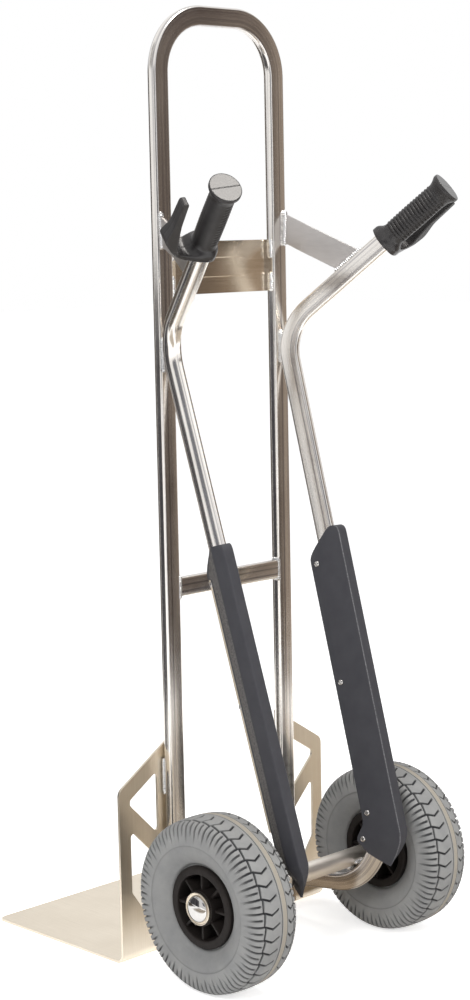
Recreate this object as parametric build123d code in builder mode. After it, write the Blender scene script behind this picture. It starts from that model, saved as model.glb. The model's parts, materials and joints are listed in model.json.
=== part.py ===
from build123d import *
import math
import os

# Sack truck in millimetres. +Z is up and +Y points to the front edge of the toe plate.
# The origin is on the floor under the middle of the truck, and the back wall of the toe plate is at Y = 0.

# D-section frame tube: the flat side, the height of the straight sides, and the wall
tube_width = 30.0
tube_depth = 23.0
tube_shoulder = 8.0
tube_corner = 4.0
tube_wall = 2.0

# Front loop
upright_spacing = 242.0
loop_height = 1432.0
loop_bend = 85.0
leg_foot = 18.0

# Toe plate, one bent sheet
plate_sheet = 4.0
plate_width = 444.0
plate_reach = 304.0
plate_bend = 15.0
plate_tip_corner = 12.0
back_wall_height = 105.0
wing_corner_height = 269.0
wing_corner = 15.0
wing_slope = 32.0
wing_rim = 22.0
wing_stile = 8.0
wing_bar = 27.0
wing_hole_corner = 5.0
lower_hole_base = 48.0
lower_hole_side_rise = 60.0
lower_hole_foot = 14.0

# Cross members between the uprights
cross_tube_height = 568.0
panel_bottom = 1007.0
panel_height = 79.0
panel_sheet = 3.0
panel_tab = 12.0
panel_joggle = 4.5
swage_length = 118.0
swage_width = 30.0
swage_rise = 1.2

# Rear tubes, from the grip down to the foot of the upright
apex_x = 127.5
apex_height = 946.0
apex_bend = 80.0
arm_lean = 16.1
arm_toe_in = 1.6
handle_length = 338.0
handle_rise = 39.2
handle_splay = 23.8
heel_drop = 26.5
foot_x = 118.0
foot_drop = 62.0

# Axle and wheels
axle_setback = 174.0
wheel_diameter = 260.0
wheel_track = 380.0
axle_tube_diameter = 28.0
axle_diameter = 20.0
spacer_length = 18.7
tyre_width = 88.0
tyre_wall = 9.0
tread_thickness = 14.0
tread_half = 32.0
tread_drop = 2.4
shoulder_half = 43.5
shoulder_drop = 26.0
shoulder_turn_half = 40.8
shoulder_turn_drop = 8.5
sidewall_drop = 42.0
sidewall_foot_rise = 1.0
air_crown_share = 0.8
rim_seat_diameter = 104.0
rim_flange_diameter = 123.0
rim_flange = 8.0
rim_flange_round = 2.5
rim_width = 66.0
rim_wall = 3.5
rim_web = 10.0
rib_count = 8
rib_thickness = 4.0
rib_recess = 3.0
hub_diameter = 53.0
hub_length = 72.0
hub_sleeve_wall = 3.0
roller_count = 10
roller_diameter = 5.0
roller_length = 50.0
cage_clearance = 1.0
cage_length = 62.0
groove_offset = 9.0
groove_width = 2.5
groove_depth = 3.0
washer_diameter = 48.4
washer_thickness = 2.0
washer_lip = 1.5
washer_lip_height = 1.2
cap_diameter = 40.0
cap_height = 8.0

# Grips
grip_length = 130.0
grip_wide = 38.0
grip_deep = 34.0
grip_end_wide = 50.0
grip_end_deep = 46.0
grip_end_height = 5.0
grip_flare = 10.0
collar_height = 8.0
collar_rise = 5.0
grip_end_wall = 6.0
grip_rib_count = 14
grip_rib_first = 24.0
grip_rib_pitch = 6.0
grip_rib_thickness = 3.2
grip_rib_rise = 1.3
guard_heel = 44.0
guard_heel_round = 22.0
guard_bulge = 72.0
guard_bulge_height = 42.0
guard_bulge_round = 14.0
guard_inner = 50.0
guard_tip = 63.0
guard_tip_round = 5.0
guard_height = 112.0
guard_root = 20.0
guard_root_round = 12.0
guard_width = 28.0
guard_tip_width = 17.0

# Stair runners on the rear tubes, measured down the tube from the bend's corner
runner_wall = 2.5
runner_top = 308.0
runner_shoulder = 54.0
runner_bottom = 773.0
runner_front = 31.5
runner_back = 26.0
runner_crown = 30.5
runner_crown_offset = 3.0
runner_lip = 16.0
runner_boot_drop = 72.0
runner_boot_reach = 48.0
runner_top_front = 9.5
runner_top_round = 30.0
runner_facet = 12.0
boot_nose_drop = 25.0
boot_chin_drop = 47.0
boot_heel_drop = 34.0
boot_heel_back = 22.0
boot_tip_back = 4.0
strip_sheet = 2.5
strip_front = 28.5
strip_overlap = 5.0
screw_shank = 4.0
screw_head = 9.0
screw_head_height = 2.6
screw_set_front = 21.5
upper_screw_station = 370.0
lower_screw_station = 556.0
boot_upper_screw_station = 759.0
boot_lower_screw_station = 797.0
boot_lower_screw_front = 37.0
boot_screw_length = 9.0

# Handle brackets
bracket_sheet = 4.0
bracket_height = 1103.0
bracket_upright_length = 45.0
bracket_arm_station = 149.0
bracket_arm_length = 46.0
bracket_bend_share = 0.34
bracket_bend_rise = 3.5

# Weld beads
weld_bead = 4.0
groove_weld_bead = 4.6
groove_weld_spread = 11.4
arm_weld_length = 42.0
arm_weld_spread = 9.0
wing_weld_length = 48.0
wing_weld_bottom = 253.0
wall_weld_length = 50.0
panel_weld_length = 20.0
axle_weld_spread = 38.0

# Clearances
seat_gap = 0.3
weld_gap = 0.7
running_gap = 0.05

# Places worked out from the sizes above
upright_x = upright_spacing / 2
upright_y = -tube_depth / 2
upright_inner = upright_x - tube_width / 2
upright_outer = upright_x + tube_width / 2
axle_y = -axle_setback
axle_z = wheel_diameter / 2

arm_up = Vector(
    math.tan(math.radians(arm_toe_in)), math.tan(math.radians(arm_lean)), 1
).normalized()
handle_out = Vector(
    math.sin(math.radians(handle_splay)) * math.cos(math.radians(handle_rise)),
    -math.cos(math.radians(handle_splay)) * math.cos(math.radians(handle_rise)),
    math.sin(math.radians(handle_rise)),
)
across = arm_up.cross(handle_out).normalized()
handle_front = handle_out.cross(across)

# The bend at the top of the rear tube just reaches the flat back of the upright
bend_inward = across.cross(arm_up)
apex_turn = arm_up.get_angle(handle_out)
apex_tangent = apex_bend * math.tan(math.radians(apex_turn) / 2)
crest_turn = math.atan2(arm_up.Y, -bend_inward.Y)
crest_ahead = arm_up.Y * math.sin(crest_turn) + bend_inward.Y * (1 - math.cos(crest_turn))
crest_below_apex = apex_tangent * arm_up.Y - apex_bend * crest_ahead
tube_reach = tube_width / 2 + across.Y * (tube_depth / 2 - tube_width / 2)
apex_y = -tube_depth - weld_gap - tube_reach + crest_below_apex
apex = Vector(apex_x, apex_y, apex_height)
grip_end = apex + handle_out * handle_length

# The heel's bend is as large as lets the tube's inner side carry the axle tube
heel_z = axle_z - heel_drop
heel = apex - arm_up * ((apex_height - heel_z) / arm_up.Z)
foot = Vector(foot_x, -tube_depth, axle_z - foot_drop)
leg_out = (foot - heel).normalized()
heel_turn = (arm_up * -1).get_angle(leg_out)
heel_middle = (arm_up + leg_out).normalized() / math.cos(math.radians(heel_turn) / 2)
heel_y_off = heel.Y - axle_y
heel_z_off = heel_z - axle_z
axle_stand_off = tube_width / 2 + axle_tube_diameter / 2 + seat_gap
square_term = heel_middle.Y**2 + heel_middle.Z**2 - 1
half_linear_term = heel_y_off * heel_middle.Y + heel_z_off * heel_middle.Z + axle_stand_off
constant_term = heel_y_off**2 + heel_z_off**2 - axle_stand_off**2
heel_bend = (
    -half_linear_term + math.sqrt(half_linear_term**2 - square_term * constant_term)
) / square_term

os.makedirs("parts", exist_ok=True)


def save(part, name):
    part.label = name
    export_step(part, f"parts/{name}.step")


def save_pair(part, name):
    save(part, f"right_{name}")
    save(mirror(part, about=Plane.YZ), f"left_{name}")


def tube_outline(plane, grow=0.0):
    # The D outline, flat side towards local -Y
    half = tube_width / 2
    flat = -tube_depth / 2
    with BuildSketch(plane) as outline:
        with BuildLine():
            Polyline(
                (-half, flat + tube_shoulder), (-half, flat), (half, flat), (half, flat + tube_shoulder)
            )
            ThreePointArc((half, flat + tube_shoulder), (0, -flat), (-half, flat + tube_shoulder))
        make_face()
        fillet(outline.vertices().group_by(Axis.Y)[0], tube_corner)
        if grow:
            offset(amount=grow)
    return outline.sketch


def tube_section(plane):
    # The D outline less its hollow
    whole = tube_outline(Plane.XY)
    hollow = tube_outline(Plane.XY, -tube_wall)
    with BuildSketch(plane) as section:
        add(whole)
        add(hollow, mode=Mode.SUBTRACT)
    return section.sketch


def tube_run(points, bends, flat):
    # Straight lengths and true bends through the points, with the flat side facing along flat
    start = points[0]
    for corner, after, radius in zip(points[1:], points[2:], bends):
        into = (corner - start).normalized()
        out = (after - corner).normalized()
        turn = into.get_angle(out)
        tangent = radius * math.tan(math.radians(turn) / 2)
        bend_start = corner - into * tangent
        straight = tube_section(Plane(start, x_dir=into.cross(flat), z_dir=into))
        extrude(straight, amount=(bend_start - start).length)
        pivot = into.cross(out).normalized()
        bend = tube_section(Plane(bend_start, x_dir=into.cross(flat), z_dir=into))
        revolve(bend, axis=Axis(bend_start + pivot.cross(into) * radius, pivot), revolution_arc=turn)
        flat = flat.rotate(Axis((0, 0, 0), pivot), turn)
        start = corner + out * tangent
    last = (points[-1] - start).normalized()
    straight = tube_section(Plane(start, x_dir=last.cross(flat), z_dir=last))
    extrude(straight, amount=(points[-1] - start).length)


def weld(start, end, radius):
    # One bead with round ends
    start = Vector(start)
    end = Vector(end)
    with BuildSketch(Plane(start, z_dir=end - start)) as round_bead:
        Circle(radius)
    extrude(round_bead.sketch, amount=(end - start).length)
    with Locations(start, end):
        Sphere(radius)


# Front loop: two uprights and the top bow, flat side to the rear
loop_top = loop_height - tube_width / 2
with BuildPart() as front_loop:
    tube_run(
        [
            Vector(-upright_x, upright_y, leg_foot),
            Vector(-upright_x, upright_y, loop_top),
            Vector(upright_x, upright_y, loop_top),
            Vector(upright_x, upright_y, leg_foot),
        ],
        [loop_bend, loop_bend],
        Vector(0, -1, 0),
    )
save(front_loop.part, "front_loop")

# Rear tube: from inside the grip, over the bend at the upright, down to the heel and forward to the foot
foot_overrun = tube_width / 2
with BuildPart() as rear_tube:
    tube_run(
        [grip_end - handle_out * grip_end_wall, apex, heel, foot + leg_out * foot_overrun],
        [apex_bend, heel_bend],
        across * -1,
    )
    split(bisect_by=Plane.XZ.offset(tube_depth), keep=Keep.TOP)
save_pair(rear_tube.part, "rear_tube")

# Mid cross tube, its ends coped to the uprights
with BuildPart() as mid_cross_tube:
    cross_start = Plane(
        (-upright_x, upright_y, cross_tube_height), x_dir=(0, 0, -1), z_dir=(1, 0, 0)
    )
    extrude(tube_section(cross_start), amount=upright_spacing)
    for side in (-1, 1):
        upright_plane = Plane((side * upright_x, upright_y, cross_tube_height - tube_width))
        extrude(tube_outline(upright_plane, seat_gap), amount=2 * tube_width, mode=Mode.SUBTRACT)
save(mid_cross_tube.part, "mid_cross_tube")

# Upper cross panel: thin sheet with its ends bent back to the uprights, and one plain pressed swage
panel_end = upright_inner - seat_gap
panel_end_y = -tube_depth + (tube_shoulder + tube_corner) / 2
panel_y = panel_end_y + panel_joggle
with BuildPart() as upper_panel:
    with BuildSketch(Plane.XY.offset(panel_bottom)):
        with BuildLine():
            Polyline(
                (-panel_end, panel_end_y - panel_sheet / 2),
                (-panel_end + panel_tab, panel_y - panel_sheet / 2),
                (panel_end - panel_tab, panel_y - panel_sheet / 2),
                (panel_end, panel_end_y - panel_sheet / 2),
                (panel_end, panel_end_y + panel_sheet / 2),
                (panel_end - panel_tab, panel_y + panel_sheet / 2),
                (-panel_end + panel_tab, panel_y + panel_sheet / 2),
                (-panel_end, panel_end_y + panel_sheet / 2),
                close=True,
            )
        make_face()
    extrude(amount=panel_height)
    swage_back = Plane(
        (0, panel_y - panel_sheet / 2, panel_bottom + panel_height / 2), x_dir=(1, 0, 0), z_dir=(0, -1, 0)
    )
    with BuildSketch(swage_back):
        SlotOverall(swage_length, swage_width)
    extrude(amount=swage_rise, taper=45)
    with BuildSketch(swage_back.offset(-panel_sheet)):
        SlotOverall(swage_length - 2 * swage_rise, swage_width - 2 * swage_rise)
    extrude(amount=swage_rise, taper=45, mode=Mode.SUBTRACT)
save(upper_panel.part, "upper_panel")

# Toe plate: foot and back wall from one bent sheet, with pierced wings outside the uprights
plate_side = plate_width / 2
wing_edge = upright_x - tube_corner
slope = math.tan(math.radians(wing_slope))
wing_top = wing_corner_height + slope * (plate_side - wing_edge)
hole_inner = upright_outer + wing_stile
hole_outer = plate_side - wing_rim
rim_drop = (wing_rim + tube_corner) / math.cos(math.radians(wing_slope))
upper_hole_top = wing_corner_height + slope * (plate_side - hole_inner) - rim_drop
upper_hole_side = wing_corner_height + slope * (plate_side - hole_outer) - rim_drop
bar_rise = wing_bar * math.sqrt(2)
lower_hole_top = upper_hole_side - 2 * tube_corner - bar_rise
hole_width = hole_outer - hole_inner
with BuildPart() as toe_plate:
    with BuildSketch(Plane.YZ) as plate_profile:
        with BuildLine():
            Polyline(
                (0, wing_top),
                (0, 0),
                (plate_reach, 0),
                (plate_reach, plate_sheet),
                (plate_sheet, plate_sheet),
                (plate_sheet, wing_top),
                close=True,
            )
        make_face()
        corners = plate_profile.vertices().sort_by_distance((0, 0))
        fillet(corners[0], plate_bend)
        inner_corner = plate_profile.vertices().sort_by_distance((plate_sheet, plate_sheet))[0]
        fillet(inner_corner, plate_bend - plate_sheet)
    extrude(amount=plate_side, both=True)
    with BuildSketch(Plane.XZ):
        with Locations((0, (back_wall_height + wing_top) / 2)):
            Rectangle(2 * wing_edge, wing_top - back_wall_height)
        for side in (-1, 1):
            with BuildLine():
                Polyline(
                    (side * wing_edge, wing_top),
                    (side * plate_side, wing_corner_height),
                    (side * plate_side, wing_top),
                    close=True,
                )
            make_face()
    extrude(amount=2 * plate_sheet, both=True, mode=Mode.SUBTRACT)
    with BuildSketch(Plane.XZ) as wing_holes:
        for side in (-1, 1):
            with BuildLine():
                Polyline(
                    (side * hole_inner, upper_hole_top),
                    (side * hole_outer, upper_hole_side),
                    (side * hole_outer, upper_hole_side - 2 * tube_corner),
                    (side * hole_inner, upper_hole_side - 2 * tube_corner - hole_width),
                    close=True,
                )
            make_face()
            with BuildLine():
                Polyline(
                    (side * hole_inner, lower_hole_top - hole_width),
                    (side * hole_outer, lower_hole_top),
                    (side * hole_outer, lower_hole_base + lower_hole_side_rise),
                    (side * (hole_inner + lower_hole_foot), lower_hole_base),
                    (side * hole_inner, lower_hole_base),
                    close=True,
                )
            make_face()
        fillet(wing_holes.vertices(), wing_hole_corner)
    extrude(amount=2 * plate_sheet, both=True, mode=Mode.SUBTRACT)
    across_edges = toe_plate.edges().filter_by(Axis.Y).group_by(Axis.X)
    fillet(
        [across_edges[0].sort_by(Axis.Z)[-1], across_edges[-1].sort_by(Axis.Z)[-1]], wing_corner
    )
    fillet(toe_plate.edges().filter_by(Axis.Z).group_by(Axis.Y)[-1], plate_tip_corner)
save(toe_plate.part, "toe_plate")

# Axle tube carried in the two heels, and the axle rod through it
axle_line = Plane((0, axle_y, axle_z), z_dir=(1, 0, 0))
axle_tube_length = wheel_track - hub_length - 2 * (spacer_length + seat_gap)
with BuildPart() as axle_tube:
    with BuildSketch(axle_line):
        Circle(axle_tube_diameter / 2)
        Circle(axle_diameter / 2, mode=Mode.SUBTRACT)
    extrude(amount=axle_tube_length / 2, both=True)
save(axle_tube.part, "axle_tube")

hub_end = wheel_track / 2 + hub_length / 2
axle_end = hub_end + seat_gap + washer_thickness + cap_height / 2
with BuildPart() as axle_rod:
    with BuildSketch(axle_line):
        Circle(axle_diameter / 2)
    extrude(amount=axle_end, both=True)
save(axle_rod.part, "axle_rod")

# Wheels, each built outward along its own axle end
sleeve_radius = axle_diameter / 2 + roller_diameter + hub_sleeve_wall
roller_circle = axle_diameter / 2 + roller_diameter / 2
cage_inner = axle_diameter / 2 + cage_clearance
cage_outer = axle_diameter / 2 + roller_diameter - cage_clearance
tread_radius = wheel_diameter / 2
seat_radius = rim_seat_diameter / 2
flange_radius = rim_flange_diameter / 2
rim_half = rim_width / 2
tyre_half = tyre_width / 2
bead_half = rim_half - rim_flange - seat_gap
bead_radius = seat_radius + seat_gap
lip_radius = flange_radius + 2 * seat_gap
for side, outward in (("left", -1), ("right", 1)):
    wheel_centre = (outward * wheel_track / 2, axle_y, axle_z)
    spin = Axis(wheel_centre, (1, 0, 0))
    section = Plane(wheel_centre, x_dir=(outward, 0, 0), z_dir=(0, -outward, 0))
    face = Plane(wheel_centre, x_dir=(0, 1, 0), z_dir=(outward, 0, 0))

    with BuildPart() as tyre:
        with BuildSketch(section):
            with BuildLine():
                Polyline(
                    (-bead_half, lip_radius + sidewall_foot_rise),
                    (-bead_half, bead_radius),
                    (bead_half, bead_radius),
                    (bead_half, lip_radius + sidewall_foot_rise),
                )
                for flank in (-1, 1):
                    ThreePointArc(
                        (flank * bead_half, lip_radius + sidewall_foot_rise),
                        (flank * tyre_half, tread_radius - sidewall_drop),
                        (flank * shoulder_half, tread_radius - shoulder_drop),
                    )
                    ThreePointArc(
                        (flank * shoulder_half, tread_radius - shoulder_drop),
                        (flank * shoulder_turn_half, tread_radius - shoulder_turn_drop),
                        (flank * tread_half, tread_radius - tread_drop),
                    )
                ThreePointArc(
                    (-tread_half, tread_radius - tread_drop),
                    (0, tread_radius),
                    (tread_half, tread_radius - tread_drop),
                )
            make_face()
        revolve(axis=spin)
        with BuildSketch(section):
            air_foot = bead_half - tyre_wall
            air_half = tyre_half - tyre_wall
            air_crown = air_half * air_crown_share
            air_top = tread_radius - tread_thickness
            with BuildLine():
                Polyline(
                    (-air_foot, lip_radius),
                    (-air_foot, seat_radius),
                    (air_foot, seat_radius),
                    (air_foot, lip_radius),
                )
                for flank in (-1, 1):
                    ThreePointArc(
                        (flank * air_foot, lip_radius),
                        (flank * air_half, (lip_radius + air_top) / 2),
                        (flank * air_crown, air_top),
                    )
                Line((-air_crown, air_top), (air_crown, air_top))
            make_face()
        revolve(axis=spin, mode=Mode.SUBTRACT)
        with BuildSketch(section):
            with Locations((-groove_offset, tread_radius), (groove_offset, tread_radius)):
                Rectangle(groove_width, 2 * groove_depth)
        revolve(axis=spin, mode=Mode.SUBTRACT)
    save(tyre.part, f"{side}_tyre")

    with BuildPart() as rim:
        with BuildSketch(section) as rim_profile:
            with BuildLine():
                Polyline(
                    (-rim_half, flange_radius),
                    (-rim_half + rim_flange, flange_radius),
                    (-rim_half + rim_flange, seat_radius),
                    (rim_half - rim_flange, seat_radius),
                    (rim_half - rim_flange, flange_radius),
                    (rim_half, flange_radius),
                    (rim_half, seat_radius - rim_wall),
                    (-rim_half, seat_radius - rim_wall),
                    close=True,
                )
            make_face()
            for flank in (-1, 1):
                brow = rim_profile.vertices().sort_by_distance((flank * rim_half, flange_radius))[0]
                fillet(brow, rim_flange_round)
            with Locations((0, (seat_radius + hub_diameter / 2) / 2)):
                Rectangle(rim_web, seat_radius - hub_diameter / 2)
            with Locations((0, (hub_diameter / 2 + sleeve_radius) / 2)):
                Rectangle(hub_length, hub_diameter / 2 - sleeve_radius)
        revolve(axis=spin)
        rib_start = hub_diameter / 2 - (hub_diameter / 2 - sleeve_radius) / 2
        rib_end = seat_radius - rim_wall / 2
        with BuildSketch(face):
            with PolarLocations((rib_start + rib_end) / 2, rib_count):
                Rectangle(rib_end - rib_start, rib_thickness)
        extrude(amount=rim_half - rib_recess, both=True)
    save(rim.part, f"{side}_rim")

    with BuildPart() as hub_sleeve:
        with BuildSketch(face):
            Circle(sleeve_radius)
            Circle(sleeve_radius - hub_sleeve_wall, mode=Mode.SUBTRACT)
        extrude(amount=hub_length / 2, both=True)
    save(hub_sleeve.part, f"{side}_hub_sleeve")

    with BuildPart() as rollers:
        with BuildSketch(face):
            with PolarLocations(roller_circle, roller_count):
                Circle(roller_diameter / 2 - running_gap)
        extrude(amount=roller_length / 2, both=True)
    save(rollers.part, f"{side}_rollers")

    with BuildPart() as roller_cage:
        with BuildSketch(face):
            Circle(cage_outer)
            Circle(cage_inner, mode=Mode.SUBTRACT)
        extrude(amount=cage_length / 2, both=True)
        with BuildSketch(face):
            with PolarLocations(roller_circle, roller_count):
                Circle(roller_diameter / 2 + running_gap)
        extrude(amount=roller_length / 2 + seat_gap, both=True, mode=Mode.SUBTRACT)
    save(roller_cage.part, f"{side}_roller_cage")

    with BuildPart() as inner_spacer:
        with BuildSketch(face.offset(-hub_length / 2 - seat_gap)):
            Circle(axle_tube_diameter / 2)
            Circle(axle_diameter / 2, mode=Mode.SUBTRACT)
        extrude(amount=-spacer_length)
    save(inner_spacer.part, f"{side}_inner_spacer")

    with BuildPart() as outer_washer:
        with BuildSketch(face.offset(hub_length / 2 + seat_gap)):
            Circle(washer_diameter / 2)
            Circle(axle_diameter / 2, mode=Mode.SUBTRACT)
        extrude(amount=washer_thickness)
        with BuildSketch(face.offset(hub_length / 2 + seat_gap + washer_thickness)):
            Circle(washer_diameter / 2)
            Circle(washer_diameter / 2 - washer_lip, mode=Mode.SUBTRACT)
        extrude(amount=washer_lip_height)
    save(outer_washer.part, f"{side}_outer_washer")

    cap_base = hub_length / 2 + seat_gap + washer_thickness
    dome = (cap_diameter**2 / 4 + cap_height**2) / (2 * cap_height)
    with BuildPart() as axle_cap:
        with BuildSketch(face.offset(cap_base)):
            Circle(cap_diameter / 2)
        extrude(amount=cap_height)
        with Locations(face.offset(cap_base + cap_height - dome)):
            Sphere(dome, mode=Mode.INTERSECT)
        with BuildSketch(face.offset(cap_base)):
            Circle(axle_diameter / 2)
        extrude(amount=cap_height / 2, mode=Mode.SUBTRACT)
    save(axle_cap.part, f"{side}_axle_cap")

# Grip: oval barrel on the end of the rear tube, with a collar, an end flange and a knuckle guard outside it
grip_start = apex + handle_out * (handle_length - grip_length)
grip_base = Plane(grip_start, x_dir=across, z_dir=handle_out)
guard_side = Plane(grip_start, x_dir=across, z_dir=handle_front * -1)
guard_front = Plane(grip_start, x_dir=handle_front, z_dir=across)


def guard_corner(profile, spot, radius):
    fillet(profile.vertices().sort_by_distance(spot)[0], radius)


with BuildPart() as guard:
    with BuildSketch(guard_side) as guard_profile:
        with BuildLine():
            Polyline(
                (0, 0),
                (guard_heel, 0),
                (guard_bulge, guard_bulge_height),
                (guard_tip, guard_height),
                (guard_inner, guard_height),
                (guard_inner, guard_root),
                (0, guard_root),
                close=True,
            )
        make_face()
        guard_corner(guard_profile, (guard_heel, 0), guard_heel_round)
        guard_corner(guard_profile, (guard_bulge, guard_bulge_height), guard_bulge_round)
        guard_corner(guard_profile, (guard_tip, guard_height), guard_tip_round)
        guard_corner(guard_profile, (guard_inner, guard_height), guard_tip_round)
        guard_corner(guard_profile, (guard_inner, guard_root), guard_root_round)
    extrude(amount=guard_width / 2, both=True)
    with BuildSketch(guard_front):
        with BuildLine():
            Polyline(
                (-guard_width / 2, 0),
                (guard_width / 2, 0),
                (guard_width / 2, guard_bulge_height),
                (guard_tip_width / 2, guard_height),
                (-guard_tip_width / 2, guard_height),
                (-guard_width / 2, guard_bulge_height),
                close=True,
            )
        make_face()
    extrude(amount=2 * guard_bulge, both=True, mode=Mode.INTERSECT)

with BuildPart() as grip:
    with BuildSketch(grip_base):
        Ellipse(grip_deep / 2, grip_wide / 2)
    extrude(amount=grip_length)
    with BuildSketch(grip_base):
        Ellipse(grip_deep / 2 + collar_rise, grip_wide / 2 + collar_rise)
    extrude(amount=collar_height)
    with BuildSketch(grip_base.offset(collar_height)):
        Ellipse(grip_deep / 2 + collar_rise, grip_wide / 2 + collar_rise)
    with BuildSketch(grip_base.offset(collar_height + grip_flare)):
        Ellipse(grip_deep / 2, grip_wide / 2)
    loft()
    flange_start = grip_length - grip_end_height
    with BuildSketch(grip_base.offset(flange_start - grip_flare)):
        Ellipse(grip_deep / 2, grip_wide / 2)
    with BuildSketch(grip_base.offset(flange_start)):
        Ellipse(grip_end_deep / 2, grip_end_wide / 2)
    loft()
    with BuildSketch(grip_base.offset(flange_start)):
        Ellipse(grip_end_deep / 2, grip_end_wide / 2)
    extrude(amount=grip_end_height)
    for rib in range(grip_rib_count):
        with BuildSketch(grip_base.offset(grip_rib_first + rib * grip_rib_pitch)):
            Ellipse(grip_deep / 2 + grip_rib_rise, grip_wide / 2 + grip_rib_rise)
            with Locations((grip_wide / 2, 0)):
                Rectangle(grip_wide, 2 * grip_wide, mode=Mode.SUBTRACT)
        extrude(amount=grip_rib_thickness)
    add(guard.part)
    tube_place = Plane(grip_start, x_dir=handle_out.cross(across * -1), z_dir=handle_out)
    extrude(
        tube_outline(tube_place, seat_gap), amount=grip_length - grip_end_wall, mode=Mode.SUBTRACT
    )
save_pair(grip.part, "grip")

# Stair runner: a channel round the back of the rear tube, its flanges trimmed to their own outlines
channel_inner = tube_depth / 2 + seat_gap
channel_outer = channel_inner + runner_wall
runner_side = Plane(apex, x_dir=arm_up, z_dir=across * -1)
runner_end = runner_bottom + runner_boot_drop
runner_length = runner_end - runner_top
channel_mouth = runner_boot_reach + tube_width
heel_tangent = heel_bend * math.tan(math.radians(heel_turn) / 2)
outer_flange_end = (apex - heel).length - heel_tangent
through_spots = [(-upper_screw_station, screw_set_front), (-lower_screw_station, screw_set_front)]
boot_spots = [
    (-boot_upper_screw_station, screw_set_front),
    (-boot_lower_screw_station, boot_lower_screw_front),
]
with BuildPart() as runner:
    with BuildSketch(Plane(apex - arm_up * runner_end, x_dir=across, z_dir=arm_up)):
        with BuildLine():
            Polyline(
                (-channel_outer, channel_mouth),
                (-channel_outer, -runner_back),
                (runner_crown_offset, -runner_crown),
                (channel_outer, -runner_facet),
                (channel_outer, channel_mouth),
                close=True,
            )
        make_face()
        with BuildLine():
            Polyline(
                (-channel_inner, channel_mouth),
                (-channel_inner, -runner_back + runner_wall),
                (runner_crown_offset, -runner_crown + runner_wall),
                (channel_inner, -runner_facet),
                (channel_inner, channel_mouth),
                close=True,
            )
        make_face(mode=Mode.SUBTRACT)
    extrude(amount=runner_length)
    boot_bottom = -runner_end
    with BuildSketch(runner_side) as front_trim:
        with BuildLine():
            Polyline(
                (-runner_top, channel_mouth),
                (-runner_top, runner_top_front),
                (-runner_top - runner_shoulder, runner_front),
                (-runner_bottom, runner_front),
                (-runner_bottom - boot_nose_drop, runner_boot_reach),
                (-runner_bottom - boot_chin_drop, runner_front),
                (boot_bottom, -boot_tip_back),
                (boot_bottom, channel_mouth),
                close=True,
            )
        make_face()
        top_corner = (-runner_top - runner_shoulder, runner_front)
        fillet(front_trim.vertices().sort_by_distance(top_corner)[0], runner_top_round)
        with BuildLine():
            Polyline(
                (boot_bottom, -boot_tip_back),
                (-runner_bottom - boot_heel_drop, -boot_heel_back),
                (-runner_bottom, -runner_crown - runner_wall),
                (boot_bottom, -runner_crown - runner_wall),
                close=True,
            )
        make_face()
    extrude(amount=2 * channel_outer, both=True, mode=Mode.SUBTRACT)
    with BuildSketch(runner_side):
        with BuildLine():
            Polyline(
                (-runner_top - runner_shoulder, channel_mouth),
                (-runner_top - runner_shoulder, runner_lip),
                (boot_bottom, runner_lip),
                (boot_bottom, channel_mouth),
                close=True,
            )
        make_face()
    extrude(amount=-2 * channel_outer, mode=Mode.SUBTRACT)
    with BuildSketch(runner_side):
        with BuildLine():
            Polyline(
                (-outer_flange_end, channel_mouth),
                (-outer_flange_end, -runner_facet),
                (boot_bottom, -boot_heel_back),
                (boot_bottom, channel_mouth),
                close=True,
            )
        make_face()
    extrude(amount=-2 * channel_outer, mode=Mode.SUBTRACT)
    with BuildSketch(runner_side):
        with Locations(*through_spots, *boot_spots):
            Circle(screw_shank / 2 + running_gap)
    extrude(amount=2 * channel_outer, both=True, mode=Mode.SUBTRACT)
save_pair(runner.part, "stair_runner")

# Clamp strip: flat metal strip against the inside of the runner's outer flange, carrying the screws
strip_outer = channel_inner
strip_inner = channel_inner - strip_sheet
strip_length = outer_flange_end - runner_top - runner_shoulder
strip_width = strip_front - runner_lip + strip_overlap
with BuildPart() as clamp_strip:
    with BuildSketch(runner_side.offset(-strip_outer)):
        with Locations(
            (-runner_top - runner_shoulder - strip_length / 2, strip_front - strip_width / 2)
        ):
            Rectangle(strip_length, strip_width)
        with Locations(*through_spots):
            Circle(screw_shank / 2 + running_gap, mode=Mode.SUBTRACT)
    extrude(amount=strip_sheet)
save_pair(clamp_strip.part, "clamp_strip")

# Runner screws: two right through ahead of the tube, headed on both sides, and two short ones in the boot
with BuildPart() as runner_screws:
    with BuildSketch(runner_side.offset(-strip_outer)):
        with Locations(*through_spots):
            Circle(screw_shank / 2)
    extrude(amount=strip_outer + channel_outer)
    with BuildSketch(runner_side.offset(-strip_outer)):
        with Locations(*through_spots):
            Circle(screw_head / 2)
    extrude(amount=-screw_head_height, taper=20)
    with BuildSketch(runner_side.offset(channel_outer)):
        with Locations(*boot_spots):
            Circle(screw_shank / 2)
    extrude(amount=-boot_screw_length)
    with BuildSketch(runner_side.offset(channel_outer)):
        with Locations(*through_spots, *boot_spots):
            Circle(screw_head / 2)
    extrude(amount=screw_head_height, taper=20)
save_pair(runner_screws.part, "runner_screws")

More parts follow.
